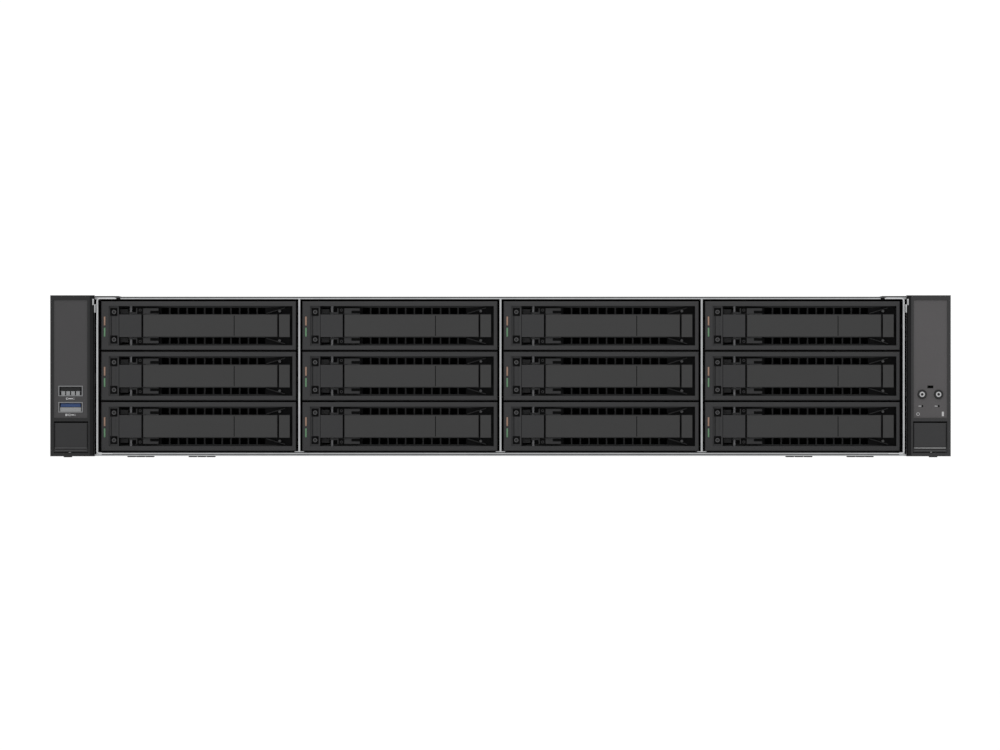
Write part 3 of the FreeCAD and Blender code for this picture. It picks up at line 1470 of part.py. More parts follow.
# ---------------------------------------------------------------- risers and slot covers
def riser_cards():
    solids = []
    for bank, left in SLOT_BANKS.items():
        board_x = f"({left} + slot_window_width + riser_from_bank)"
        depth = (RISER_FRONT, f"{REAR} - riser_from_rear")
        up = span(BOARD_TOP, "riser_height")
        solids.append(box(f"riser_board_{bank}", span(board_x, "board_thick"), depth, up))
        slot_rear = f"({depth[1]} - riser_slot_from_rear)"
        for i in range(SLOTS):
            low = f"slot_lowest + {i} * slot_pitch"
            middle = f"({low} + slot_window_height / 2)"
            solids.append(
                box(
                    f"riser_slot_{bank}_{i}",
                    (f"{board_x} - riser_slot_reach", board_x),
                    (f"{slot_rear} - riser_slot_length", slot_rear),
                    centred(middle, "riser_slot_height"),
                )
            )
            solids.append(
                box(
                    f"slot_cover_{bank}_{i}",
                    (f"{left} - slot_cover_lap", f"{left} + slot_window_width + slot_cover_lap"),
                    (f"{REAR} - wall - slot_cover_thick", f"{REAR} - wall"),
                    (f"{low} - slot_cover_lap", f"{low} + slot_window_height + slot_cover_lap"),
                )
            )
    return group("riser_cards", solids)


# ---------------------------------------------------------------- screws
def screw_form():
    head = rod("screw_head", "screw_head_radius", "z", "0", "screw_head_height", ("0", "0"))
    shank = rod("screw_shank", "screw_radius", "z", "-screw_length", "screw_root", ("0", "0"))
    deep = ("screw_head_height - screw_cross_depth", "screw_head_height + cut_past")
    long, narrow = centred("0", "screw_cross_length"), centred("0", "screw_cross_width")
    cross = [box("screw_cross_x", long, narrow, deep), box("screw_cross_y", narrow, long, deep)]
    return cut("screw_form", fuse("screw_solid", [head, shank]), [fuse("screw_cross", cross)])


def screws():
    screw = screw_form()
    solids = []
    outside = f"{SIDE} + leg_thick"
    sides = (
        ("left", f"-({outside})", Rotation(Vector(0, 1, 0), -90)),
        ("right", outside, Rotation(Vector(0, 1, 0), 90)),
    )
    for side, x, turn in sides:
        for i, height in enumerate(SIDE_SCREW_HEIGHTS):
            solids.append(copy_at(f"{side}_bracket_screw_{i}", screw, x, SIDE_SCREW_Y, height, turn))
    for i, (x, y) in enumerate(STANDOFFS):
        solids.append(copy_at(f"board_screw_{i}", screw, x, y, BOARD_TOP))
    return group("screws", solids)


# ---------------------------------------------------------------- the whole machine
def label(thing, name):
    thing.Label = name
    return thing


def build():
    made = []
    drive = [carrier_frame(), hard_drive(), hinge_pin(), *carrier_screws()]
    lever_form, latch_form = lever(), release_latch()
    for number, x, z in bay_places():
        for name, parts in (("drive", drive), ("drive_lever", [lever_form]), ("drive_latch", [latch_form])):
            made.append(label(place(group(f"{name}_{number}", parts), x, BEZEL, z), f"{name}_{number}"))
    made.append(label(drive_cage(), "drive_cage"))
    made.append(label(group("chassis_base", [case_tray(), rear_panel(), supply_bay()]), "chassis_base"))
    made.append(label(top_cover(), "top_cover"))
    left = [
        ear_housing(-1, "left", port_openings()),
        ear_bracket(-1, "left"),
        control_board(-1, "left", "port_height_low - port_board_below", "port_height_low + port_board_above"),
    ]
    right = [
        ear_housing(1, "right", button_openings()),
        ear_bracket(1, "right"),
        control_board(
            1, "right", "button_height - control_board_below", "button_height + control_board_above"
        ),
    ]
    made.append(label(group("left_rack_ear", left), "left_rack_ear"))
    made.append(label(group("right_rack_ear", right), "right_rack_ear"))
    made.append(label(rack_door(-1, "left_rack_door"), "left_rack_door"))
    made.append(label(rack_door(1, "right_rack_door"), "right_rack_door"))
    made.append(label(group("front_usb_ports", front_port(0) + front_port(1)), "front_usb_ports"))
    for name, inwards in BUTTONS.items():
        made.append(label(push_button(name, inwards), name))
    made.append(label(backplane(), "backplane"))
    made.append(label(fan_frames(), "fan_frames"))
    rotor = fan_rotor()
    for i, x in fan_places():
        made.append(label(copy_at(f"fan_rotor_{i}", rotor, x, FAN_FRONT, FAN_Z), f"fan_rotor_{i}"))
    supply, trigger = power_supply(), supply_trigger()
    for i, z in supply_places():
        for name, form in ((f"power_supply_{i}", supply), (f"supply_trigger_{i}", trigger)):
            made.append(label(copy_at(name, form, SUPPLY_LEFT, REAR, z), name))
    made.append(label(system_board(), "system_board"))
    made.append(label(heat_sinks(), "heat_sinks"))
    made.append(label(air_duct(), "air_duct"))
    made.append(label(riser_cards(), "riser_cards"))
    made.append(label(screws(), "screws"))
    return made


def check(parts):
    """Stops if any object failed or any sub-part's shape is not sound."""
    failed = [o.Name for o in doc.Objects if "Invalid" in o.State or "Error" in o.State]
    if failed:
        raise RuntimeError(f"objects failed to build: {failed}")
    for part in parts:
        if part.Shape.isNull() or not part.Shape.isValid() or not part.Shape.Solids:
            raise RuntimeError(f"{part.Label} has no sound shape")


sub_parts = build()
doc.recompute()
check(sub_parts)
os.makedirs("parts", exist_ok=True)
for part in sub_parts:
    part.Shape.exportStep(f"parts/{part.Label}.step")
print(f"{len(sub_parts)} sub-parts, {sum(len(p.Shape.Solids) for p in sub_parts)} solids")
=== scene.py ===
import math

import bmesh
import bpy
from mathutils import Matrix, Vector


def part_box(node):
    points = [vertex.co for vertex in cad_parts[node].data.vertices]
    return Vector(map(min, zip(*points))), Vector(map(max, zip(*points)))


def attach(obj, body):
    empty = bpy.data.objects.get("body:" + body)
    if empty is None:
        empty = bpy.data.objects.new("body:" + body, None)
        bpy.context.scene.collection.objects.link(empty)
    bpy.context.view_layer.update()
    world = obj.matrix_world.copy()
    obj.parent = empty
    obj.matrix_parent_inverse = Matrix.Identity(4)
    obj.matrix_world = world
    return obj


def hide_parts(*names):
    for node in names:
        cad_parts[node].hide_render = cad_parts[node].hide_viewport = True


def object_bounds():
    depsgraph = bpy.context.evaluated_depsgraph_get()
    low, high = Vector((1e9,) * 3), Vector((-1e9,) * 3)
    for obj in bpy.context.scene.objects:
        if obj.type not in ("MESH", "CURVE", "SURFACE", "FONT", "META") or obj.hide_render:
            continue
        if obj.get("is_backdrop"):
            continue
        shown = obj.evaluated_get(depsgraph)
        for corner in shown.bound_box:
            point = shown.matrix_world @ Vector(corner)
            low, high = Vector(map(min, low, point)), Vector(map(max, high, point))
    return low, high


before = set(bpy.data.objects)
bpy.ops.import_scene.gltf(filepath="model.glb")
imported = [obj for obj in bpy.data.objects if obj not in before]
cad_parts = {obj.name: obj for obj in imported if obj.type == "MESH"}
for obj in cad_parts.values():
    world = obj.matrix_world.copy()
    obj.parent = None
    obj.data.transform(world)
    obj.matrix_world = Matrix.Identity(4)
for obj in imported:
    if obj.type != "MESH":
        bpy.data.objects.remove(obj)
cadLow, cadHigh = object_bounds()  # the model's box before anything is added
mm = 0.001
print("frame loaded:", len(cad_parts), "nodes")


def inMm(values):
    return [value * mm for value in values]


# materials
def linearColour(hexValue):
    parts = [int(hexValue[i:i + 2], 16) / 255 for i in (0, 2, 4)]
    return tuple(c / 12.92 if c <= 0.04045 else ((c + 0.055) / 1.055) ** 2.4 for c in parts) + (1.0,)


def addNode(tree, kind, settings=(), inputs=()):
    node = tree.nodes.new(kind)
    for key, value in dict(settings).items():
        setattr(node, key, value)
    for key, value in dict(inputs).items():
        if isinstance(value, bpy.types.NodeSocket):
            tree.links.new(value, node.inputs[key])
        else:
            node.inputs[key].default_value = value
    return node


def makeFinish(name, look):
    material = bpy.data.materials.new(name)
    material.use_nodes = True
    tree = material.node_tree
    tree.nodes.clear()
    place = addNode(tree, "ShaderNodeTexCoord").outputs["Object"]
    along = addNode(tree, "ShaderNodeMapping", inputs={
        "Vector": place, "Scale": look["stretch"]}).outputs["Vector"]
    grain = addNode(tree, "ShaderNodeTexNoise", inputs={
        "Vector": along, "Scale": 1 / (look["grain"] * mm), "Detail": 3.0, "Roughness": 0.6})
    if "spangle" in look:
        cells = addNode(tree, "ShaderNodeTexVoronoi", inputs={
            "Vector": place, "Scale": 1 / (look["spangle"] * mm), "Randomness": 1.0})
        cellShade = addNode(tree, "ShaderNodeSeparateColor", inputs={"Color": cells.outputs["Color"]})
        shade = addNode(tree, "ShaderNodeMath", {"operation": "MULTIPLY_ADD"}, {
            0: cellShade.outputs["Red"], 1: 0.5, 2: 0.25}).outputs[0]
    else:
        cloud = addNode(tree, "ShaderNodeTexNoise", inputs={
            "Vector": place, "Scale": 1 / (look["cloud"] * mm), "Detail": 4.0, "Roughness": 0.55})
        shade = cloud.outputs["Fac"]
    first, second = (linearColour(value) for value in look["colours"])
    colour = addNode(tree, "ShaderNodeMix", {"data_type": "RGBA"}, {0: shade, 6: first, 7: second})
    low, high = look["rough"]
    rough = addNode(tree, "ShaderNodeMapRange", inputs={
        "Value": grain.outputs["Fac"], "From Min": 0.3, "From Max": 0.7, "To Min": low, "To Max": high})
    bump = addNode(tree, "ShaderNodeBump", inputs={
        "Height": grain.outputs["Fac"], "Strength": 0.35, "Distance": look["depth"] * mm})
    shader = addNode(tree, "ShaderNodeBsdfPrincipled", inputs={
        "Base Color": colour.outputs[2], "Roughness": rough.outputs[0], "Normal": bump.outputs[0],
        "Metallic": look["metallic"]})
    if "specular" in look:
        shader.inputs["Specular IOR Level"].default_value = look["specular"]
    addNode(tree, "ShaderNodeOutputMaterial", inputs={"Surface": shader.outputs[0]})
    return material


plainFinish = {"grain": 0.3, "depth": 0.01, "cloud": 40, "stretch": (1, 1, 1), "metallic": 0.0}
dull = 0.3      # mould grain throws back less than a polished face
# grain, depth, cloud and spangle are in mm. Mould grain, grinding and print are finer than 0.1 mm on
# the real surfaces and are drawn at 0.2 to 0.8 mm so that they show. Spangle is at its real size.
finishLooks = {
    # ABS from a spark-eroded mould: an even matt grey with a fine grain
    "mouldedAbsBezel": {
        "colours": ("323233", "2d2d2e"), "grain": 0.35, "depth": 0.03, "rough": (0.5, 0.62),
        "specular": dull},
    # painted shade: the same ABS made darker, deep in the pockets and in the seams and gaps, where little
    # light comes back
    "mouldedAbsShaded": {
        "colours": ("161617", "121213"), "grain": 0.35, "depth": 0.03, "rough": (0.55, 0.7),
        "specular": 0.15},
    # ABS with a finer mould grain: a shade lighter and a little smoother
    "mouldedAbsLever": {
        "colours": ("363636", "323232"), "depth": 0.02, "rough": (0.42, 0.52), "specular": dull},
    # PC/ABS housings with a coarse mould texture: charcoal, dull. The right one is a lit copy, painted
    # paler for the light that falls on it
    "texturedPcEar": {
        "colours": ("1d1d1e", "191a1a"), "grain": 0.4, "depth": 0.03, "rough": (0.45, 0.6),
        "specular": dull},
    "texturedPcEarLit": {
        "colours": ("313132", "2d2d2e"), "grain": 0.4, "depth": 0.03, "rough": (0.45, 0.6),
        "specular": dull},
    # polycarbonate overlay film on the ears: smooth, lighter than the housing. The left one is a shaded
    # copy, painted darker for the shade it stands in
    "polycarbonateFilmShaded": {
        "colours": ("444344", "3e3d3e"), "rough": (0.36, 0.46), "specular": dull},
    "polycarbonateFilm": {"colours": ("565455", "504e4f"), "rough": (0.36, 0.46), "specular": dull},
    # moulded ABS covers over the rack screws: between housing and film in tone. The left one is a shaded
    # copy, painted darker for the shade it stands in
    "mouldedAbsDoorShaded": {
        "colours": ("2b2b2c", "272728"), "grain": 0.4, "depth": 0.02, "rough": (0.45, 0.55),
        "specular": dull},
    "mouldedAbsDoor": {
        "colours": ("323233", "2e2e2f"), "grain": 0.4, "depth": 0.02, "rough": (0.45, 0.55),
        "specular": dull},
    # ABS button caps: near black and a little smoother from wear
    "mouldedAbsButton": {"colours": ("1c1c1d", "181819"), "rough": (0.35, 0.45), "specular": dull},
    # near black, for the dark clips and as painted shade: on deep walls, gaps, groove floors, holes and
    # the drive's front behind the vents, where little light comes back
    "blackClipAndShade": {
        "colours": ("0b0b0b", "080808"), "grain": 0.6, "depth": 0.05, "rough": (0.8, 0.95),
        "specular": 0.1},
    # hot-dip galvanised sheet: cool grey with a faint small spangle
    "galvanisedSheet": {
        "colours": ("b4b5b6", "a3a5a6"), "grain": 0.5, "rough": (0.3, 0.42), "spangle": 6.0,
        "metallic": 1.0},
    # the turned-in side of a hem: the same sheet, mostly in its own shade
    "shadowedHem": {
        "colours": ("4a4b4c", "414243"), "grain": 0.5, "rough": (0.5, 0.6), "metallic": 0.3},
    # zinc plate on small folded parts, painted paler than the sheet as a highlight where the edges catch
    # the light
    "zincEdgeHighlight": {
        "colours": ("cccdce", "c0c1c2"), "depth": 0.004, "rough": (0.22, 0.32), "metallic": 1.0},
    # powder coat: almost black with a fine orange peel
    "powderCoatBlack": {
        "colours": ("151516", "121213"), "grain": 0.5, "depth": 0.02, "rough": (0.45, 0.58),
        "specular": dull},
    # ground and blued pin: grey with long fine lines
    "groundSteelPin": {
        "colours": ("78787a", "6c6c6e"), "grain": 0.25, "depth": 0.005, "rough": (0.5, 0.6),
        "metallic": 0.4, "stretch": (1, 1, 0.1)},
    # zinc plated and black oxide steel fasteners: soft metal glint, and almost none
    "zincPlatedScrew": {
        "colours": ("a2a3a5", "909193"), "depth": 0.005, "rough": (0.3, 0.4), "metallic": 1.0},
    "blackOxideScrew": {
        "colours": ("2c2c2d", "242425"), "grain": 0.2, "rough": (0.4, 0.5), "metallic": 0.6},
    # pressure-cast drive housing: pale, slightly rough skin
    "castAluminium": {
        "colours": ("a2a4a6", "8f9294"), "grain": 0.6, "depth": 0.02, "rough": (0.4, 0.55),
        "metallic": 1.0},
    # extruded and sawn fins: bright with lines along the extrusion
    "extrudedAluminium": {
        "colours": ("c4c6c8", "b4b7ba"), "grain": 0.4, "rough": (0.25, 0.38), "metallic": 1.0,
        "stretch": (1, 0.02, 1)},
    # nickel plated port shells: clear but dark mirror
    "nickelPlatedShell": {
        "colours": ("868688", "7a7b7c"), "depth": 0.004, "rough": (0.26, 0.38), "metallic": 1.0},
    # dull tin plate on the contact springs inside a port
    "tinnedContact": {
        "colours": ("8a8b8c", "7e7f80"), "depth": 0.004, "rough": (0.45, 0.55), "metallic": 0.3},
    # FR-4 with green solder mask over copper: dark green with small blotches
    "solderMaskBoard": {
        "colours": ("1d4a35", "163c2a"), "grain": 0.8, "depth": 0.02, "rough": (0.3, 0.4),
        "cloud": 9},
    # glass-filled PBT in its colours, for connectors, sockets, fans and touch points: even, satin
    "blackPbt": {
        "colours": ("161617", "121213"), "depth": 0.015, "rough": (0.42, 0.55), "specular": dull},
    "bluePbt": {"colours": ("27497f", "213f72"), "rough": (0.4, 0.5)},
    # painted highlight: a mid grey for screw rims, studs and door lips where edges catch the light
    "greyHighlight": {"colours": ("555556", "4b4b4c"), "rough": (0.4, 0.5)},
    "ivoryPbt": {"colours": ("c4beae", "bab4a4"), "rough": (0.45, 0.55)},
    "terracottaPbt": {"colours": ("a8452a", "9a3d24"), "depth": 0.015, "rough": (0.4, 0.5)},
    "blueTouchPoint": {"colours": ("2a5fa0", "245490"), "depth": 0.015, "rough": (0.4, 0.5)},
    # polycarbonate sheet, cut and folded into the air duct: smooth black
    "blackPcSheet": {"colours": ("1f1f20", "1a1a1b"), "grain": 0.8, "rough": (0.3, 0.4)},
    # transfer-moulded epoxy: fine matt black
    "blackEpoxyChip": {
        "colours": ("1a1a1b", "151516"), "grain": 0.2, "depth": 0.005, "rough": (0.35, 0.5)},
    # turned brass and gold plated contacts: warm metal
    "brassStandoff": {
        "colours": ("b08d4c", "a28044"), "depth": 0.004, "rough": (0.3, 0.4), "metallic": 1.0},
    "goldContact": {
        "colours": ("d0a445", "c0933a"), "depth": 0.003, "rough": (0.25, 0.35), "metallic": 1.0},
    # tinted polycarbonate light pipes, unlit: dusty amber and green
    "amberLightPipe": {
        "colours": ("a5836f", "957563"), "grain": 0.6, "depth": 0.003, "rough": (0.25, 0.32)},
    "greenLightPipe": {
        "colours": ("66906c", "57825e"), "grain": 0.6, "depth": 0.003, "rough": (0.25, 0.32)},
    # painted highlight: the thin edge of the moulding where it catches the light
    "absEdgeHighlight": {"colours": ("b2b2b2", "a6a6a6"), "depth": 0.002, "rough": (0.3, 0.4)},
    # screen print in pale ink: flat and matt
    "greyPrint": {"colours": ("c2c2c3", "b6b6b7"), "depth": 0.002, "rough": (0.5, 0.6)},
}
finishes = {name: makeFinish(name, {**plainFinish, **look}) for name, look in finishLooks.items()}
print("finishes made:", len(finishes))


# mesh helpers
def paintFaces(faces, index):
    for face in faces:
        face.material_index = index


def copyNode(node):
    shape = bmesh.new()
    shape.from_mesh(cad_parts[node].data)
    bmesh.ops.remove_doubles(shape, verts=shape.verts, dist=2e-6)   # loose triangles become one skin
    return shape


def islands(shape):     # each joined group of faces with its lowest and highest corner
    left = set(shape.faces)
    while left:
        found = [left.pop()]
        for face in found:      # the list grows while it is read
            for edge in face.edges:
                near = left.intersection(edge.link_faces)
                left -= near
                found += near
        points = [v.co for f in found for v in f.verts]
        low = Vector([min(p[i] for p in points) for i in range(3)])
        high = Vector([max(p[i] for p in points) for i in range(3)])
        yield found, low, high


def addBox(shape, low, high, index=0, bevel=0.0):
    before = set(shape.faces)
    low, high = Vector(low), Vector(high)
    place = Matrix.Translation((low + high) / 2) @ Matrix.Diagonal((*(high - low), 1))
    made = bmesh.ops.create_cube(shape, size=1.0, matrix=place)
    if bevel:
        edges = {e for v in made["verts"] for e in v.link_edges}
        bmesh.ops.bevel(shape, geom=list(edges), offset=bevel, segments=2, affect="EDGES", profile=0.5)
    paintFaces(set(shape.faces) - before, index)


def addRod(shape, start, end, radius, index=0, sides=24, bevel=0.0):
    before = set(shape.faces)
    start, end = Vector(start), Vector(end)
    turn = (end - start).to_track_quat("Z", "Y").to_matrix().to_4x4()
    bmesh.ops.create_cone(shape, cap_ends=True, segments=sides, radius1=radius, radius2=radius,
                          depth=(end - start).length, matrix=Matrix.Translation((start + end) / 2) @ turn)
    if bevel:
        rims = {e for f in set(shape.faces) - before if len(f.verts) > 4 for e in f.edges}
        bmesh.ops.bevel(shape, geom=list(rims), offset=bevel, segments=2, affect="EDGES", profile=0.5)
    paintFaces(set(shape.faces) - before, index)


def joinLoops(shape, a, b):
    count = len(a)
    return [shape.faces.new((a[i], a[(i + 1) % count], b[(i + 1) % count], b[i])) for i in range(count)]


def addRing(shape, centre, inner, outer, low, high, index=0, sides=48):
    loops = []
    for radius, y in ((inner, low), (outer, low), (outer, high), (inner, high)):
        turns = [2 * math.pi * i / sides for i in range(sides)]
        loops.append([shape.verts.new((centre[0] + radius * math.cos(turn), y,
                                       centre[2] + radius * math.sin(turn))) for turn in turns])
    made = []
    for a, b in zip(loops, loops[1:] + loops[:1]):
        made += joinLoops(shape, a, b)
    bmesh.ops.recalc_face_normals(shape, faces=made)
    paintFaces(made, index)


def finishPiece(name, shape, body, names, replaces=()):
    mesh = bpy.data.meshes.new(name)
    shape.to_mesh(mesh)
    shape.free()
    for finish in names:
        mesh.materials.append(finishes[finish])
    if "custom_normal" in mesh.attributes:
        mesh.attributes.remove(mesh.attributes["custom_normal"])
    for polygon in mesh.polygons:
        polygon.use_smooth = True
    mesh.set_sharp_from_angle(angle=math.radians(30))
    piece = bpy.data.objects.new(name, mesh)
    bpy.context.scene.collection.objects.link(piece)
    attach(piece, body)
    if replaces:
        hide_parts(*replaces)


def paintNode(node, finish):
    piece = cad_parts[node]
    if not piece.material_slots:
        piece.data.materials.append(None)
    for place in piece.material_slots:
        place.link = "OBJECT"
        place.material = finishes[finish]


# rows of small pieces, by Geometry Nodes
def makeRowsTree():
    tree = bpy.data.node_groups.new("rowsOfPieces", "GeometryNodeTree")
    sockets = (("Shape", "Object", None), ("Finish", "Material", None), ("Count X", "Int", 2),
               ("Count Y", "Int", 1), ("Pitch X", "Float", 0.01), ("Pitch Y", "Float", 0.01),
               ("Shift", "Float", 0.0), ("Keep", "Float", 1.0), ("Seed", "Int", 0))
    for label, kind, value in sockets:
        socket = tree.interface.new_socket(label, in_out="INPUT", socket_type=f"NodeSocket{kind}")
        if value is not None:
            socket.default_value = value
    tree.interface.new_socket("Geometry", in_out="OUTPUT", socket_type="NodeSocketGeometry")
    given = addNode(tree, "NodeGroupInput").outputs
    sizes = []
    for axis in ("X", "Y"):
        steps = addNode(tree, "ShaderNodeMath", {"operation": "SUBTRACT"}, {
            0: given[f"Count {axis}"], 1: 1.0})
        sizes.append(addNode(tree, "ShaderNodeMath", {"operation": "MULTIPLY"}, {
            0: steps.outputs[0], 1: given[f"Pitch {axis}"]}).outputs[0])
    grid = addNode(tree, "GeometryNodeMeshGrid", inputs={
        "Size X": sizes[0], "Size Y": sizes[1],
        "Vertices X": given["Count X"], "Vertices Y": given["Count Y"]})
    index = addNode(tree, "GeometryNodeInputIndex").outputs[0]
    row = addNode(tree, "ShaderNodeMath", {"operation": "MODULO"}, {0: index, 1: given["Count Y"]})
    odd = addNode(tree, "ShaderNodeMath", {"operation": "MODULO"}, {0: row.outputs[0], 1: 2.0})
    slide = addNode(tree, "ShaderNodeMath", {"operation": "MULTIPLY"}, {
        0: odd.outputs[0], 1: given["Shift"]})
    offset = addNode(tree, "ShaderNodeCombineXYZ", inputs={"X": slide.outputs[0]})
    placed = addNode(tree, "GeometryNodeSetPosition", inputs={
        "Geometry": grid.outputs[0], "Offset": offset.outputs[0]})
    chance = addNode(tree, "FunctionNodeRandomValue", {"data_type": "BOOLEAN"}, {
        "Probability": given["Keep"], "Seed": given["Seed"]})
    source = addNode(tree, "GeometryNodeObjectInfo", inputs={"Object": given["Shape"]})
    copies = addNode(tree, "GeometryNodeInstanceOnPoints", inputs={
        "Points": placed.outputs[0], "Selection": chance.outputs[3],
        "Instance": source.outputs["Geometry"]})
    real = addNode(tree, "GeometryNodeRealizeInstances", inputs={"Geometry": copies.outputs[0]})
    coated = addNode(tree, "GeometryNodeSetMaterial", inputs={
        "Geometry": real.outputs[0], "Material": given["Finish"]})
    addNode(tree, "NodeGroupOutput", inputs={"Geometry": coated.outputs[0]})
    return tree


rowsTree = makeRowsTree()


def rowLook(countX, countY, pitchX, pitchY, shift=0.0, keep=1.0, seed=0):
    return {"Count X": countX, "Count Y": countY, "Pitch X": pitchX * mm, "Pitch Y": pitchY * mm,
            "Shift": shift * mm, "Keep": keep, "Seed": seed}


def addRows(shape, index, small, look, place):
    mesh = bpy.data.meshes.new("small")
    small.to_mesh(mesh)
    small.free()
    source = bpy.data.objects.new("small", mesh)
    host = bpy.data.objects.new("host", bpy.data.meshes.new("host"))
    for made in (source, host):
        bpy.context.scene.collection.objects.link(made)
    modifier = host.modifiers.new("rows", "NODES")
    modifier.node_group = rowsTree
    values = {"Shape": source, "Finish": finishes["blackPbt"], **look}
    for socket in rowsTree.interface.items_tree:
        if socket.in_out == "INPUT" and socket.name in values:
            modifier[socket.identifier] = values[socket.name]
    ready = bpy.data.meshes.new_from_object(host.evaluated_get(bpy.context.evaluated_depsgraph_get()))
    host.modifiers.remove(modifier)
    ready.transform(place)
    before = set(shape.faces)
    shape.from_mesh(ready)
    paintFaces(set(shape.faces) - before, index)
    for made in (source, host):
        bpy.data.objects.remove(made)


def facing(x, y, z, direction):
    upright = Matrix.Rotation(math.radians(90), 4, "X")
    turns = {"up": Matrix.Identity(4),
             "rear": upright @ Matrix.Rotation(math.radians(180), 4, "Y"),
             "left": Matrix.Rotation(math.radians(-90), 4, "Z") @ upright,
             "right": Matrix.Rotation(math.radians(90), 4, "Z") @ upright}
    return Matrix.Translation((x, y, z)) @ turns[direction]


# small shapes that the rows repeat, in mm
def disc(radius, height, sides=6, bevel=0.0, foot=-0.1):
    small = bmesh.new()
    addRod(small, (0, 0, foot * mm), (0, 0, height * mm), radius * mm, 0, sides, bevel * mm)
    return small


def cuboid(x, y, z):
    small = bmesh.new()
    addBox(small, (-x / 2 * mm, -y / 2 * mm, 0), (x / 2 * mm, y / 2 * mm, z * mm), 0)
    return small


# drives
bays = sorted(n[-2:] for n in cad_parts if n.startswith("drive_lever_"))
driveLook = {               # mm, from the bezel's left edge, its face and its middle height
    "pipeAt": 1.9,
    "pipeSize": (0.9, 1.1, 4.8),
    "pipeMiddles": (2.55, -3.45),
    "pipeInset": 0.1,
    "screwRim": (0.75, 1.1),
    "pockets": (3.3, 14.5),
    "ribZone": (30.0, 90.0),
    "recessFloor": 7.5,
    "studAt": (95.7, 7.9),  # small moulded studs beside the latch, painted pale as highlights
    "studSize": (0.75, 3.2),
    "wedge": ((88.5, 6.4), (98.5, 9.4)),
    "wedgeWide": 0.5,
    "wedgeTall": 2.2,
    "plate": ((10.1, 6.4), (14.4, 8.9)),
    "plateDepth": 14.05,
    "plateTall": 1.5,
    "seams": (5.5, 9.6),    # shallow lines beside the screws, painted dark as shade
    "seamReach": 6.0,
    "armDepth": 0.9,
}
driveFinishes = ["mouldedAbsBezel", "castAluminium", "groundSteelPin", "blackOxideScrew",
                 "amberLightPipe", "greenLightPipe", "greyHighlight", "blackClipAndShade", "solderMaskBoard",
                 "mouldedAbsShaded"]
bezel, casting, pin, screw, amber, green, highlight, dark, board, shaded = range(10)


def driveShape(node):
    look = driveLook
    low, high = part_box(node)
    middle = (low.z + high.z) / 2
    shape = copyNode(node)
    for faces, start, end in islands(shape):
        size = (end - start) / mm
        if size.y > 140 and start.y > low.y + 5 * mm:       # the drive behind its bezel
            index = casting
        elif size.x < 2 and size.z > 15:        # the lever's hinge pin
            index = pin
        elif max(size) < 4:
            index = screw
        else:
            index = bezel
        paintFaces(faces, index)
        if index == bezel:      # pocket walls lie in shade, the ribs between the vents don't
            for face in faces:
                x, depth = ((face.calc_center_median() - low) / mm).xy
                rib = look["ribZone"][0] < x < look["ribZone"][1] and face.normal.y < -0.5
                if look["pockets"][0] < depth < look["pockets"][1] and not rib:
                    face.material_index = shaded
        elif index == casting:  # its front end is in the dark behind the vents, its board underneath
            paintFaces([f for f in faces if f.normal.y < -0.9], dark)
            paintFaces([f for f in faces if f.normal.z < -0.9], board)
        elif index == screw:    # painted highlight: a pale rim round the socket of each screw head, where its edge catches the light
            x, z = (start.x + end.x) / 2, (start.z + end.z) / 2
            addRing(shape, (x, 0, z), *inMm(look["screwRim"]), start.y - 0.08 * mm,
                    start.y + 0.05 * mm, highlight, 28)
    wide, deep, tall = inMm(look["pipeSize"])
    x, front = low.x + look["pipeAt"] * mm, low.y + look["pipeInset"] * mm
    for place, index in zip(look["pipeMiddles"], (amber, green)):
        z = middle + place * mm
        addBox(shape, (x - wide / 2, front, z - tall / 2), (x + wide / 2, front + deep, z + tall / 2),
               index, 0.12 * mm)
    for seam in look["seams"]:
        x, y, reach = low.x + seam * mm, low.y + look["armDepth"] * mm, look["seamReach"] * mm
        addBox(shape, (x - 0.15 * mm, y - 0.02 * mm, middle - reach),
               (x + 0.15 * mm, y + 0.1 * mm, middle + reach), shaded)
    pocketFloor = low.y + look["recessFloor"] * mm
    for side in (-1, 1):
        x, z = low.x + look["studAt"][0] * mm, middle + side * look["studAt"][1] * mm
        radius, tall = inMm(look["studSize"])
        addRod(shape, (x, pocketFloor + 0.3 * mm, z), (x, pocketFloor - tall, z), radius, highlight, 20,
               0.15 * mm)
        (x0, z0), (x1, z1) = look["plate"]
        spans = sorted((middle + side * z0 * mm, middle + side * z1 * mm))
        addBox(shape, (low.x + x0 * mm, pocketFloor - look["plateTall"] * mm, spans[0]),
               (low.x + x1 * mm, low.y + look["plateDepth"] * mm, spans[1]), bezel)
        (x0, z0), (x1, z1) = look["wedge"]
        wide = look["wedgeWide"]
        corners = [(x0, z0), (x1, z1), (x1, z1 + wide), (x0, z0 + wide)]
        ends = [[shape.verts.new((low.x + x * mm, y, middle + side * z * mm)) for x, z in corners]
                for y in (pocketFloor + 0.2 * mm, pocketFloor - look["wedgeTall"] * mm)]
        made = [shape.faces.new(ends[0]), shape.faces.new(ends[1][::-1]), *joinLoops(shape, *ends)]
        bmesh.ops.recalc_face_normals(shape, faces=made)
        paintFaces(made, bezel)
    return shape


leverLook = {               # mm, from the lever's left end, its face and its middle height
    "grooveDepth": 0.3,
    "thumbPart": 15.5,      # the end under the thumb is a shade darker
    "tabDepth": 1.2,
    "shades": (((5.0, 6.4), (8.2, 9.9)), ((12.0, 6.6), (16.4, 8.1))),   # relief on the side tabs, painted black as its shade
    "shadeDepths": (1.75, 1.95),
    "boss": (6.6, 8.4),
    "bossRadii": (0.45, 0.75),
    "bossDepths": (1.7, 1.95),
}
leverFinishes = ["mouldedAbsLever", "blackClipAndShade", "mouldedAbsBezel"]


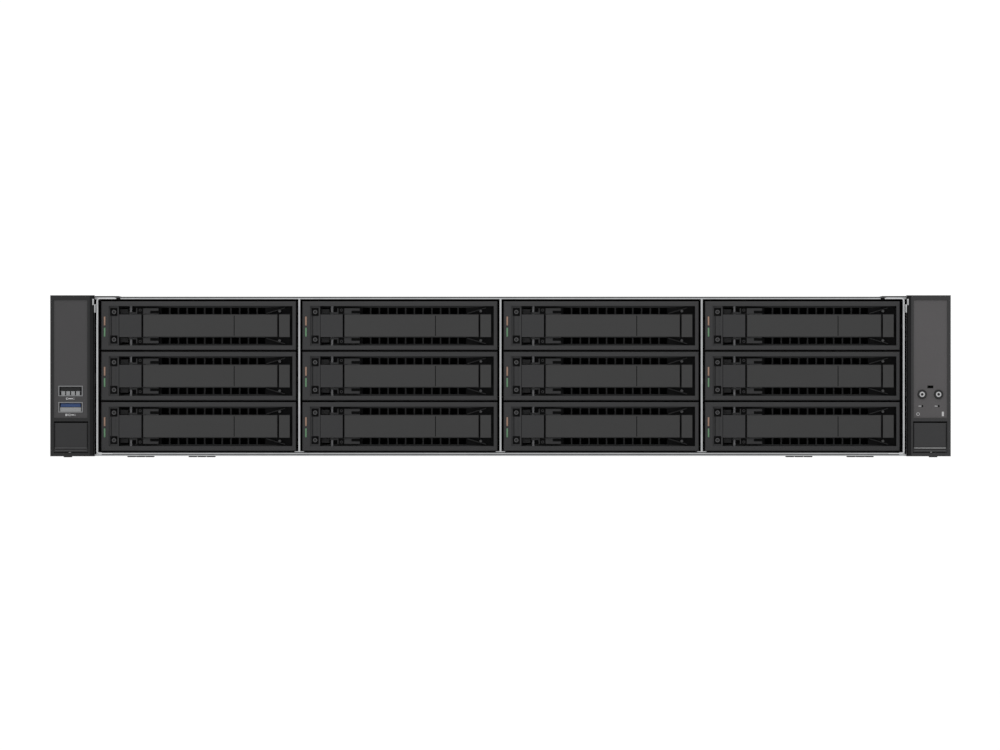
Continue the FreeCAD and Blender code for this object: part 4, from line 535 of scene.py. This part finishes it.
def leverShape(node):
    look = leverLook
    low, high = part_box(node)
    middle = (low.z + high.z) / 2
    shape = copyNode(node)
    # painted shade: the groove's floor is painted black
    for face in shape.faces:
        spot = face.calc_center_median()
        groove = face.normal.y < -0.99 and abs(spot.y - low.y - look["grooveDepth"] * mm) < 0.02 * mm
        thumb = spot.x < low.x + look["thumbPart"] * mm
        tab = spot.y > low.y + look["tabDepth"] * mm
        face.material_index = 1 if groove else 2 if thumb or tab else 0
    front, back = (low.y + depth for depth in inMm(look["shadeDepths"]))
    for side in (-1, 1):
        for (x0, z0), (x1, z1) in look["shades"]:
            spans = sorted((middle + side * z0 * mm, middle + side * z1 * mm))
            addBox(shape, (low.x + x0 * mm, front, spans[0]), (low.x + x1 * mm, back, spans[1]), 1)
        x, z = low.x + look["boss"][0] * mm, middle + side * look["boss"][1] * mm
        addRing(shape, (x, 0, z), *inMm(look["bossRadii"]), low.y + look["bossDepths"][0] * mm,
                low.y + look["bossDepths"][1] * mm, 2, 20)
    return shape


for bay in bays:
    drive, lever = f"drive_{bay}", f"drive_lever_{bay}"
    finishPiece(f"driveUnit_{bay}", driveShape(drive), drive, driveFinishes, [drive])
    finishPiece(f"driveLever_{bay}", leverShape(lever), lever, leverFinishes, [lever])
    paintNode(f"drive_latch_{bay}", "mouldedAbsLever")
print("drives dressed:", len(bays))

# sheet metal
paintNode("top_cover", "galvanisedSheet")
paintNode("screws", "zincPlatedScrew")
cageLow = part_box("drive_cage")[0]
coverLow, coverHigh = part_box("top_cover")
cageLook = {                # mm, across and up
    "lipThick": 0.52,       # folded corner lips in front of the cage, painted bright as a highlight
    "lipDepth": 1.0,
    "lipSide": 216.54,
    "lipFoot": 2.1,
    "lipTop": 85.4,
    "lipRadius": 1.8,
    "lipLength": 8.5,
    "bump": (2.2, 84.3, 85.6),  # dark clip where a lip ends: length, foot, head
    "gapShade": (216.7, 217.65),  # painted shade: a black strip in the gap between the cage and the ear
    "gapShadeHeights": (4, 82),
    "clipPlaces": ((218.35, 83.4, 0.42, 1.7), (217.4, 79.9, 0.38, 2.2)),    # with half width and height
    "hems": ((85.62, 86.26, 207.0), (2.4, 2.9, 214.0), (1.3, 1.8, 214.0)),  # foot, head, half length
}


def lipPath(side):
    radius, across = cageLook["lipRadius"], cageLook["lipSide"] - cageLook["lipRadius"]
    path = [(cageLook["lipSide"] - cageLook["lipLength"], cageLook["lipFoot"])]
    for first, middle in ((-90, cageLook["lipFoot"] + radius), (0, cageLook["lipTop"] - radius)):
        for step in range(7):
            turn = math.radians(first + 15 * step)
            path.append((across + radius * math.cos(turn), middle + radius * math.sin(turn)))
    path.append((across - cageLook["lipLength"], cageLook["lipTop"]))
    return [(side * x * mm, z * mm) for x, z in path]


def addStrip(shape, path, width, front, rear, index):
    rings = []
    for i, (x, z) in enumerate(path):
        ahead, behind = path[min(i + 1, len(path) - 1)], path[max(i - 1, 0)]
        along = Vector((ahead[0] - behind[0], ahead[1] - behind[1])).normalized() * width / 2
        out, back = (x - along.y, z + along.x), (x + along.y, z - along.x)
        rings.append([shape.verts.new(p) for p in ((out[0], front, out[1]), (back[0], front, back[1]),
                                                   (back[0], rear, back[1]), (out[0], rear, out[1]))])
    made = [shape.faces.new(rings[0]), shape.faces.new(rings[-1][::-1])]
    for a, b in zip(rings, rings[1:]):
        made += joinLoops(shape, a, b)
    bmesh.ops.recalc_face_normals(shape, faces=made)
    paintFaces(made, index)


cageShape = copyNode("drive_cage")
for face in cageShape.faces:
    inside = face.calc_center_median().y > cageLow.y + 5 * mm       # deep walls lie in the dark
    face.material_index = 1 if face.normal.y < -0.99 and inside else 0
front = cageLow.y
foot, head = inMm(cageLook["gapShadeHeights"])
for side in (-1, 1):
    edges = sorted(side * place for place in inMm(cageLook["gapShade"]))
    addBox(cageShape, (edges[0], front - 0.05 * mm, foot), (edges[1], front + 1.5 * mm, head), 1)
    path = lipPath(side)
    addStrip(cageShape, path, cageLook["lipThick"] * mm, front - cageLook["lipDepth"] * mm, front, 2)
    length, low, high = inMm(cageLook["bump"])
    edges = sorted((path[-1][0], path[-1][0] - side * length))
    addBox(cageShape, (edges[0], front - 0.9 * mm, low), (edges[1], front, high), 1, 0.2 * mm)
    for x, z, halfWide, halfTall in cageLook["clipPlaces"]:
        addBox(cageShape, ((side * x - halfWide) * mm, cadLow.y + 0.06 * mm, (z - halfTall) * mm),
               ((side * x + halfWide) * mm, front, (z + halfTall) * mm), 0, 0.15 * mm)
for low, high, half in cageLook["hems"]:
    addBox(cageShape, (-half * mm, front - 0.06 * mm, low * mm),
           (half * mm, front + 0.1 * mm, high * mm), 3)
finishPiece("driveCageDressed", cageShape, "chassis",
            ["galvanisedSheet", "blackClipAndShade", "zincEdgeHighlight", "shadowedHem"], ["drive_cage"])

baseLook = {"bossTop": 0.9}     # painted shade: the bosses under the floor are painted dark, so they are dark dashes from the front
baseShape = copyNode("chassis_base")
for face in baseShape.faces:
    under = face.calc_center_median().z < baseLook["bossTop"] * mm
    face.material_index = 1 if under and abs(face.normal.z) < 0.9 else 0
finishPiece("chassisBase", baseShape, "chassis", ["galvanisedSheet", "mouldedAbsBezel"],
            ["chassis_base"])

coverLook = {               # mm
    "ribs": (-165, -55, 55, 165),
    "ribSize": (6.0, 0.5),
    "ribEnds": (120, 60),   # from the front and from the rear edge
    "latch": (46.0, 84.0, 0.8),
    "latchFromFront": 70.0,
    "touch": (26.0, 16.0, 8.0),     # width, length and distance from the latch's end
    "screw": (3.0, 0.6, 20, 0.18),  # radius, height, sides, bevel
    "screwRows": (2, 3, 424, 255),
}
trim = bmesh.new()
top = coverHigh.z
half, tall = coverLook["ribSize"][0] / 2, coverLook["ribSize"][1] * mm
for x in coverLook["ribs"]:
    addBox(trim, ((x - half) * mm, coverLow.y + coverLook["ribEnds"][0] * mm, top - 0.2 * mm),
           ((x + half) * mm, coverHigh.y - coverLook["ribEnds"][1] * mm, top + tall), 0, 0.45 * mm)
wide, long, tall = inMm(coverLook["latch"])
latchY = coverLow.y + coverLook["latchFromFront"] * mm
latchEnd = latchY + long / 2
addBox(trim, (-wide / 2, latchY - long / 2, top - 0.1 * mm), (wide / 2, latchEnd, top + tall), 1,
       0.35 * mm)
wide, long, gap = inMm(coverLook["touch"])
addBox(trim, (-wide / 2, latchEnd - gap - long, top + tall - 0.2 * mm),
       (wide / 2, latchEnd - gap, top + tall + 0.08 * mm), 2, 0.2 * mm)
addRows(trim, 3, disc(*coverLook["screw"]), rowLook(*coverLook["screwRows"]),
        facing(0, (coverLow.y + coverHigh.y) / 2, top, "up"))
finishPiece("coverTrim", trim, "top_cover",
            ["galvanisedSheet", "blackPbt", "blueTouchPoint", "zincPlatedScrew"])

caseLook = {                # mm
    "rivet": (2.2, 0.5, 20, 0.18),
    "rivetRows": (9, 2, 82, 66),
    "rivetsMiddle": (20, 43.4),
    "frontScrew": (2.6, 0.6, 20, 0.18),
    "frontScrewRow": (5, 1, 95, 10),
    "frontScrewsAt": 120,
}
caseTrim = bmesh.new()
baseLow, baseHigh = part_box("chassis_base")
rivetY = (baseLow.y + baseHigh.y) / 2 + caseLook["rivetsMiddle"][0] * mm
for name, x in (("left", cageLow.x), ("right", -cageLow.x)):
    addRows(caseTrim, 0, disc(*caseLook["rivet"]), rowLook(*caseLook["rivetRows"]),
            facing(x, rivetY, caseLook["rivetsMiddle"][1] * mm, name))
addRows(caseTrim, 0, disc(*caseLook["frontScrew"]), rowLook(*caseLook["frontScrewRow"]),
        facing(0, cageLow.y + caseLook["frontScrewsAt"] * mm, top, "up"))
finishPiece("caseRivets", caseTrim, "chassis", ["zincPlatedScrew"])
print("sheet metal dressed")

# rack ears
earLook = {                 # mm
    "wide": 23.6,
    "bracketFrom": 30.0,    # from the ear's face back to the steel bracket
    "panelInset": 0.5,
    "panelFoot": 20.0,
    "tab": (85.9, 20.0, 206.0),     # steel tab over the cage: height, depth, and where it ends
    "seamShades": ((0.03, 0.65, 6), (0.65, 2.4, 5)),
    "printThick": 0.03,
    # printed marks, from the outer edge and the foot, with half width and half height
    "marks": {"left": ((10.9, 31.6, 2.1, 0.27), (9.0, 31.6, 0.55, 0.55), (12.6, 31.6, 0.45, 0.45),
                       (11.2, 22.9, 2.4, 0.27), (8.6, 22.9, 0.5, 0.6), (10.3, 22.9, 0.5, 0.6),
                       (13.2, 22.9, 0.45, 0.45)),
              "right": ((16.4, 27.6, 0.8, 0.18), (7.8, 27.6, 0.8, 0.18), (4.2, 23.4, 0.55, 1.2))},
    "rings": {"left": (), "right": ((17.5, 23.3, 0.65, 0.9),)},
}
for side, sign, film, skin in (("left", -1, "polycarbonateFilmShaded", "texturedPcEar"),
                               ("right", 1, "polycarbonateFilm", "texturedPcEarLit")):
    node = f"{side}_rack_ear"
    shape = copyNode(node)
    low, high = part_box(node)
    outer = high.x if sign > 0 else -low.x
    inner = outer - earLook["wide"] * mm
    for faces, start, end in islands(shape):
        for face in faces:
            spot = face.calc_center_median()
            depth = (spot.y - low.y) / mm
            flush = abs(depth - earLook["panelInset"]) < 0.05 and face.normal.y < -0.99
            if len(faces) < 20:     # the control board behind the panel
                face.material_index = 3
            elif depth >= earLook["bracketFrom"] - 0.01:
                face.material_index = 2
            else:
                face.material_index = 1 if flush and spot.z > low.z + earLook["panelFoot"] * mm else 0
    tabTop, tabDepth, tabEnd = inMm(earLook["tab"])
    for vertex in shape.verts:      # the tab ends short of the front cover's screws
        spot = vertex.co
        if spot.z > tabTop and spot.y > low.y + tabDepth and abs(spot.x) < tabEnd:
            spot.x = sign * tabEnd
    # painted shade: dark strips along the ear's inner edge, in the gap next to the cage
    for start, end, index in earLook["seamShades"]:
        edges = sorted((sign * (inner + start * mm), sign * (inner + end * mm)))
        addBox(shape, (edges[0], low.y - 0.01 * mm, low.z + 0.8 * mm),
               (edges[1], low.y + 0.3 * mm, high.z - 0.1 * mm), index)
    panel = low.y + earLook["panelInset"] * mm
    front, back = panel - earLook["printThick"] * mm, panel + 0.02 * mm
    for inwards, z, halfWide, halfTall in earLook["marks"][side]:
        x = sign * (outer - inwards * mm)
        addBox(shape, (x - halfWide * mm, front, (z - halfTall) * mm),
               (x + halfWide * mm, back, (z + halfTall) * mm), 4)
    for inwards, z, small, large in earLook["rings"][side]:
        addRing(shape, (sign * (outer - inwards * mm), 0, z * mm), small * mm, large * mm, front, back,
                4, 28)
    finishPiece(f"{side}EarDressed", shape, "chassis",
                [skin, film, "powderCoatBlack", "solderMaskBoard", "greyPrint", "mouldedAbsShaded",
                 "blackClipAndShade"], [node])

doorLook = {                # mm
    "border": 1.1,
    "margin": 0.5,
    "lips": ((2.05, 0.35), (0.8, 0.2)),     # painted highlights along the lower lip: height above the foot and thickness
    "seam": (0.45, 2.6, 0.3),   # painted shade in the gap beside the cover: its width, and its ends
}
for side, skin, lips in (("left", "mouldedAbsDoorShaded", ["greyHighlight", "greyHighlight"]),
                         ("right", "mouldedAbsDoor", ["absEdgeHighlight", "greyHighlight"])):
    node = f"{side}_rack_door"
    paintNode(node, skin)
    low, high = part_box(node)
    shape = bmesh.new()
    border, margin = doorLook["border"] * mm, doorLook["margin"] * mm
    edges = low.x + border, high.x - border
    for i, (rise, tall) in enumerate(doorLook["lips"]):
        addBox(shape, (edges[0] + margin, low.y - 0.03 * mm, low.z + rise * mm),
               (edges[1] - margin, low.y + 0.2 * mm, low.z + (rise + tall) * mm), i)
    wide, foot, head = inMm(doorLook["seam"])
    for x in (edges[0], edges[1] - wide):
        addBox(shape, (x, low.y - 0.02 * mm, low.z + foot),
               (x + wide, low.y + 0.2 * mm, high.z - head), 2)
    finishPiece(f"{side}DoorLip", shape, node, lips + ["mouldedAbsShaded"])
print("ears dressed")

# ports in the left ear
portLook = {                # mm
    "springs": (4, 2.6),    # in the upper port: count and pitch
    "springWide": (2.0, 11.2),      # in the upper and in the lower port
    "springRise": 2.2,
    "springLong": 5.0,
    "springPlace": (0.4, 0.55),     # behind the shell's face and above its foot
    "between": (30, 32),    # heights that tell the upper shell and the upper tongue from the lower ones
}


def springShape(halfWide, rise, long):
    small = bmesh.new()
    outline = ((0, 0), (0.5 * mm, rise), (long, rise), (long, 0))
    points = [(x, y, z) for x in (-halfWide, halfWide) for y, z in outline]
    bmesh.ops.convex_hull(small, input=[small.verts.new(p) for p in points])
    return small


portsShape = copyNode("front_usb_ports")
shells = []
for faces, start, end in islands(portsShape):
    if end.z - start.z > 3 * mm:
        paintFaces(faces, 0)
        shells.append((start, end))
    else:
        paintFaces(faces, 1 if start.z > portLook["between"][1] * mm else 2)
for start, end in shells:
    upper = start.z > portLook["between"][0] * mm
    wide = portLook["springWide"][0 if upper else 1]
    count, pitch = portLook["springs"]
    back, rise = inMm(portLook["springPlace"])
    addRows(portsShape, 3,
            springShape(wide / 2 * mm, portLook["springRise"] * mm, portLook["springLong"] * mm),
            rowLook(count if upper else 1, 1, pitch, 1),
            Matrix.Translation(((start.x + end.x) / 2, start.y + back, start.z + rise)))
finishPiece("frontPorts", portsShape, "chassis",
            ["nickelPlatedShell", "blackPbt", "bluePbt", "tinnedContact"], ["front_usb_ports"])

# buttons
buttonLook = {"ring": (0.75, 1.4), "sink": 0.04}    # mm
for node, name in (("power_button", "powerButton"), ("id_button", "idButton")):
    shape = copyNode(node)
    low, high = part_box(node)
    sink = buttonLook["sink"] * mm
    for vertex in shape.verts:      # the face sinks so that the ring stays inside the cap's height
        if vertex.co.y < low.y + 0.01 * mm:
            vertex.co.y += sink
    centre = (low + high) / 2
    addRing(shape, centre, *inMm(buttonLook["ring"]), low.y, low.y + 2 * sink, 1)
    finishPiece(name, shape, node, ["mouldedAbsButton", "greyPrint"], [node])
print("ports and buttons dressed")

# rear slots
slotLook = {"hole": (1.75, 0.04), "holes": (22, 3, 4.5, 4.3, 2.25), "holesFoot": 9.6}    # mm
shape = copyNode("riser_cards")
covers = []
for faces, start, end in islands(shape):
    size = (end - start) / mm
    paintFaces(faces, 2 if size.y < 1.2 else 0 if size.x < 2 else 1)    # covers, boards, sockets
    if size.y < 1.2:
        covers.append((start, end))
# painted shade: the holes are flat black discs on the covers
shift = slotLook["holes"][-1]
for start, end in covers:       # every second line of holes is shifted by half a pitch
    addRows(shape, 3, disc(*slotLook["hole"]), rowLook(*slotLook["holes"]),
            facing((start.x + end.x) / 2 + shift / 2 * mm, end.y, start.z + slotLook["holesFoot"] * mm,
                   "rear"))
finishPiece("riserCards", shape, "chassis",
            ["solderMaskBoard", "blackPbt", "galvanisedSheet", "blackClipAndShade"], ["riser_cards"])

# system board
boardLook = {               # mm
    "top": 9.4,
    "thick": 1.7,
    "moduleChips": (9, 1, 13.6, 1),
    "moduleChip": (10.0, 9.0, 1.0),
    "moduleChipRise": 3,
    "latches": (1, 2, 1, 138),      # at both ends of a memory slot
    "latch": (5.0, 3.5, 12.0),
    "chip": (6.5, 5.5, 1.1),
    "can": (2.6, 5.5, 14, 0.3, 0),
    "resistor": (1.8, 0.9, 0.7),
    "zones": ((-158, 262, 9, 13, 9.5, 11), (-66, 262, 4, 13, 9.5, 11),  # middle, counts, pitches
              (86, 262, 9, 13, 9.5, 11), (-39, -52, 33, 2, 10, 6)),
    "portDepth": 11.0,
    "portWalls": (1.1, 2.4, 1.4),   # side, foot and head of a port's shell
    "serialPin": (0.45, 0.3),
    "serialPins": (6, 2, 3.4, 3.4),
    "networkPin": (0.5, 6, 0.3),
    "networkPins": (8, 1, 1.1, 1),
    "networkPinPlace": (7, 2.6),
}
boardFinishes = ["solderMaskBoard", "blackPbt", "blackEpoxyChip", "nickelPlatedShell",
                 "extrudedAluminium", "brassStandoff", "goldContact", "ivoryPbt", "castAluminium"]
mask, socket, chip, shell, fins, brass, gold, ivory, can = range(9)
look = boardLook
shape = copyNode("system_board")
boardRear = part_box("system_board")[1].y
boardTop = look["top"] * mm
modules, slots, ports = [], [], []
for faces, start, end in islands(shape):
    size = (end - start) / mm
    index = socket
    if size.y > 200:        # the board itself, with the standoffs under it
        for face in faces:
            under = face.calc_center_median().z < boardTop - look["thick"] * mm
            face.material_index = brass if under else mask
        continue
    if end.y > boardRear - 0.1 * mm:    # a rear port
        index = shell
        ports.append((faces, start, end))
    elif 3 < size.x < 4 and size.z > 25:        # a memory module
        index = mask
        modules.append((start, end))
    elif 6 < size.x < 7 and size.y > 100:       # a memory slot
        slots.append((start, end))
    elif 40 < size.x < 50 and 40 < size.y < 50:     # the small heat sink
        index = fins
    elif 15 < size.x < 25 and size.z < 6:       # the clock's battery
        index = shell
    elif size.y < 2:        # the upright board in front of the supplies
        index = mask
    paintFaces(faces, index)
wall, foot, head = inMm(look["portWalls"])
for faces, start, end in ports:
    centre = (start + end) / 2
    for face in faces:
        spot = face.calc_center_median()
        inside = start.x + wall < spot.x < end.x - wall and start.z + foot < spot.z < end.z - head
        if inside or spot.y < end.y - look["portDepth"] * mm:
            face.material_index = socket
    if end.x - start.x > 25 * mm:
        addRows(shape, gold, disc(*look["serialPin"]), rowLook(*look["serialPins"]),
                facing(centre.x, end.y, centre.z, "rear"))
    else:
        back, rise = inMm(look["networkPinPlace"])
        addRows(shape, gold, cuboid(*look["networkPin"]), rowLook(*look["networkPins"]),
                Matrix.Translation((centre.x, end.y - back, start.z + rise)))
for start, end in modules:
    centre = (start + end) / 2
    for direction, x in (("left", start.x), ("right", end.x)):
        spot = facing(x, centre.y, centre.z + look["moduleChipRise"] * mm, direction)
        addRows(shape, chip, cuboid(*look["moduleChip"]), rowLook(*look["moduleChips"]),
                spot @ Matrix.Scale(0.45, 4, (0, 0, 1)))
for start, end in slots:
    centre = (start + end) / 2
    addRows(shape, ivory, cuboid(*look["latch"]), rowLook(*look["latches"]),
            Matrix.Translation((centre.x, centre.y, start.z)))
for k, (x, y, countX, countY, pitchX, pitchY) in enumerate(look["zones"]):
    spot = Matrix.Translation((x * mm, y * mm, boardTop - 0.05 * mm))
    addRows(shape, chip, cuboid(*look["chip"]),
            rowLook(countX, countY, pitchX, pitchY, 2.0, 0.3, 11 + k), spot)
    addRows(shape, can, disc(*look["can"]),
            rowLook(countX, countY, pitchX, pitchY, 0, 0.16, 31 + k),
            spot @ Matrix.Translation((0.5 * mm, 5.6 * mm, 0)))
    addRows(shape, ivory, cuboid(*look["resistor"]),
            rowLook(2 * countX, countY, pitchX / 2, pitchY, 1.0, 0.6, 51 + k),
            spot @ Matrix.Translation((0, -4.4 * mm, 0)))
finishPiece("systemBoard", shape, "chassis", boardFinishes, ["system_board"])

backplaneLook = {"chip": (7, 7, 1.2), "chips": (14, 3, 30, 27, 4.0, 0.5, 7), "middle": 42}     # mm
shape = copyNode("backplane")
for faces, start, end in islands(shape):
    paintFaces(faces, 0 if end.x - start.x > 200 * mm else 1)   # the board, its connectors
addRows(shape, 2, cuboid(*backplaneLook["chip"]), rowLook(*backplaneLook["chips"]),
        facing(0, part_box("backplane")[1].y, backplaneLook["middle"] * mm, "rear"))
finishPiece("backplaneDressed", shape, "chassis",
            ["solderMaskBoard", "blackPbt", "blackEpoxyChip"], ["backplane"])

shape = copyNode("fan_frames")
for faces, start, end in islands(shape):
    paintFaces(faces, 1 if end.x - start.x > 200 * mm else 0)       # the wall is sheet steel
finishPiece("fanFrames", shape, "chassis", ["blackPbt", "galvanisedSheet"],
            ["fan_frames"])
hubLook = {"badge": 11, "clearOf": 12}  # mm: metal disc on each hub, and where the blades begin
for i in (1, 2, 3):
    node = f"fan_rotor_{i}"
    shape = copyNode(node)
    paintFaces(shape.faces, 0)
    low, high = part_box(node)
    centre = (low + high) / 2
    blades = [v.co.y for v in shape.verts
              if math.hypot(v.co.x - centre.x, v.co.z - centre.z) > hubLook["clearOf"] * mm]
    hub = min(blades, default=low.y)
    addRod(shape, (centre.x, hub + 0.1 * mm, centre.z), (centre.x, hub - 0.12 * mm, centre.z),
           hubLook["badge"] * mm, 1, 40)
    finishPiece(f"fanRotor_{i}", shape, node, ["blackPbt", "castAluminium"], [node])
paintNode("heat_sinks", "extrudedAluminium")
paintNode("air_duct", "blackPcSheet")
print("inside dressed")

# power supplies
supplyLook = {              # mm, from the supply's left side and its middle height
    "faceInset": 28.0,      # the handle and the trigger stand behind the rear face
    "tongue": 6.2,
    "inlet": (20.0, 24.0, 16.5),
    "inletDepths": (15.5, 17.0),
    "pins": (7.0, 1.1, 4.1),
    "fan": (55.0, 14.6, 8.2),
    "rings": (4.2, 7.6, 11.0, 14.0),
    "struts": (45, 135),    # degrees
    "strutReach": 15.0,
    "wire": 0.45,
    "lamp": (35.5, 13.0, 1.2),
    "contact": (1.2, 5.0, 0.05),
    "contacts": (20, 1, 1.9, 1),
    "contactPlace": (3.0, 0.8),
}
supplyFinishes = ["galvanisedSheet", "powderCoatBlack", "blackPbt", "nickelPlatedShell",
                  "solderMaskBoard", "greenLightPipe", "goldContact"]
case, coat, plastic, metal, edge, lamp, gold = range(7)
look = supplyLook
for i in (1, 2):
    node = f"power_supply_{i}"
    shape = copyNode(node)
    low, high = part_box(node)
    rear = high.y - look["faceInset"] * mm
    middle = (low.z + high.z) / 2
    inletX, inletWide, inletTall = inMm(look["inlet"])
    pinDepth, inletDepth = inMm(look["inletDepths"])
    pinGap, pinWide, pinTall = inMm(look["pins"])
    fanX, fanRadius, fanDepth = inMm(look["fan"])
    for face in shape.faces:
        spot = face.calc_center_median()
        dx, dz = spot.x - low.x - inletX, spot.z - middle
        inInlet = abs(dx) < inletWide / 2 + 0.1 * mm and abs(dz) < inletTall / 2 + 0.1 * mm
        inFan = math.hypot(spot.x - low.x - fanX, dz) < fanRadius + 0.1 * mm
        onPin = min(abs(dx - k * pinGap) for k in (-1, 0, 1)) < pinWide and abs(dz) < pinTall
        if spot.y < low.y + look["tongue"] * mm:
            face.material_index = edge
        elif spot.y > rear + 0.05 * mm:
            face.material_index = plastic
        elif spot.y > rear - 0.05 * mm:
            face.material_index = coat
        elif inInlet and spot.y > rear - inletDepth:
            face.material_index = metal if onPin and spot.y > rear - pinDepth else plastic
        else:
            face.material_index = plastic if inFan and spot.y > rear - fanDepth else case
    wire = look["wire"] * mm
    centre = Vector((low.x + fanX, rear + 0.2 * mm, middle))
    for radius in look["rings"]:
        addRing(shape, centre, radius * mm - wire, radius * mm + wire, rear - 0.7 * mm, rear + 0.3 * mm,
                metal)
    for angle in look["struts"]:
        turn = math.radians(angle)
        reach = Vector((math.cos(turn), 0, math.sin(turn))) * look["strutReach"] * mm
        addRod(shape, centre - reach, centre + reach, wire, metal, 10)
    x, z, radius = inMm(look["lamp"])
    addRod(shape, (low.x + x, rear - 0.2 * mm, middle + z), (low.x + x, rear + 0.4 * mm, middle + z),
           radius, lamp, 20, 0.2 * mm)
    back, rise = inMm(look["contactPlace"])
    addRows(shape, gold, cuboid(*look["contact"]), rowLook(*look["contacts"]),
            Matrix.Translation(((low.x + high.x) / 2, low.y + back, middle + rise)))
    finishPiece(f"powerSupply_{i}", shape, node, supplyFinishes, [node])
    paintNode(f"supply_trigger_{i}", "terracottaPbt")
print("power supplies dressed")

# floor, light, camera
stageLook = {               # metres
    "size": 12.0,
    "distance": 4.0,        # from the camera to the ears' faces
    "viewWide": 0.5359,     # what it sees across at that distance
    "middle": (-0.00027, 0.04427),
    "floorGlow": (1.05, 0.95),      # strength, and its share where the camera or a reflection sees it
    "skyLight": 0.62,
    "skySeen": 1.03,
}
scene = bpy.context.scene
floorMesh = bpy.data.meshes.new("floor")
half = stageLook["size"] / 2
corners = [(-half, -half, 0), (half, -half, 0), (half, half, 0), (-half, half, 0)]
floorMesh.from_pydata(corners, [], [(0, 1, 2, 3)])
floor = bpy.data.objects.new("floor", floorMesh)
scene.collection.objects.link(floor)
floor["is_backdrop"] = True


def seenDirectly(tree):
    rays = addNode(tree, "ShaderNodeLightPath").outputs
    seen = addNode(tree, "ShaderNodeMath", {"operation": "MAXIMUM"}, {
        0: rays["Is Camera Ray"], 1: rays["Is Glossy Ray"]})
    return addNode(tree, "ShaderNodeMath", {"operation": "MAXIMUM"}, {
        0: seen.outputs[0], 1: rays["Is Transmission Ray"]}).outputs[0]


paper = bpy.data.materials.new("palePaper")     # matt white card that keeps a faint shadow
paper.use_nodes = True
tree = paper.node_tree
tree.nodes.clear()
strength, share = stageLook["floorGlow"]
diffuse = addNode(tree, "ShaderNodeBsdfDiffuse", inputs={"Color": (0.9, 0.9, 0.9, 1)})
glow = addNode(tree, "ShaderNodeEmission", inputs={"Color": (1, 1, 1, 1), "Strength": strength})
part = addNode(tree, "ShaderNodeMath", {"operation": "MULTIPLY"}, {0: seenDirectly(tree), 1: share})
mix = addNode(tree, "ShaderNodeMixShader", inputs={
    0: part.outputs[0], 1: diffuse.outputs[0], 2: glow.outputs[0]})
addNode(tree, "ShaderNodeOutputMaterial", inputs={"Surface": mix.outputs[0]})
floorMesh.materials.append(paper)

world = bpy.data.worlds.new("studio")
scene.world = world
world.use_nodes = True
tree = world.node_tree
tree.nodes.clear()
strength = addNode(tree, "ShaderNodeMapRange", inputs={
    "Value": seenDirectly(tree), "To Min": stageLook["skyLight"], "To Max": stageLook["skySeen"]})
sky = addNode(tree, "ShaderNodeBackground", inputs={
    "Color": (1, 1, 1, 1), "Strength": strength.outputs[0]})
addNode(tree, "ShaderNodeOutputWorld", inputs={"Surface": sky.outputs[0]})

lampLook = {                # metres and watts
    "overFront": {"place": (0.0, -2.2, 2.2), "aim": (0, 0, 0.04), "size": 2.4, "power": 26},
    "overRear": {"place": (0.6, 2.4, 2.4), "aim": (0, 0.2, 0.04), "size": 2.4, "power": 20},
}
for name, look in lampLook.items():
    data = bpy.data.lights.new(name, "AREA")
    data.shape = "SQUARE"
    data.size = look["size"]
    data.energy = look["power"]
    lampObject = bpy.data.objects.new(name, data)
    lampObject.location = look["place"]
    aim = Vector(look["aim"]) - Vector(look["place"])
    lampObject.rotation_euler = aim.to_track_quat("-Z", "Y").to_euler()
    scene.collection.objects.link(lampObject)

cameraData = bpy.data.cameras.new("camera")
cameraData.sensor_width = 36.0
cameraData.lens = 36.0 * stageLook["distance"] / stageLook["viewWide"]
cameraData.clip_end = 100.0
camera = bpy.data.objects.new("camera", cameraData)
across, up = stageLook["middle"]
camera.location = (across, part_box("left_rack_ear")[0].y - stageLook["distance"], up)
camera.rotation_euler = (math.radians(90), 0, 0)
scene.collection.objects.link(camera)
scene.camera = camera
scene.view_settings.view_transform = "Standard"
print("stage set")

low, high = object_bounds()
{"cad": [list(cadLow), list(cadHigh)], "visual": [list(low), list(high)]}
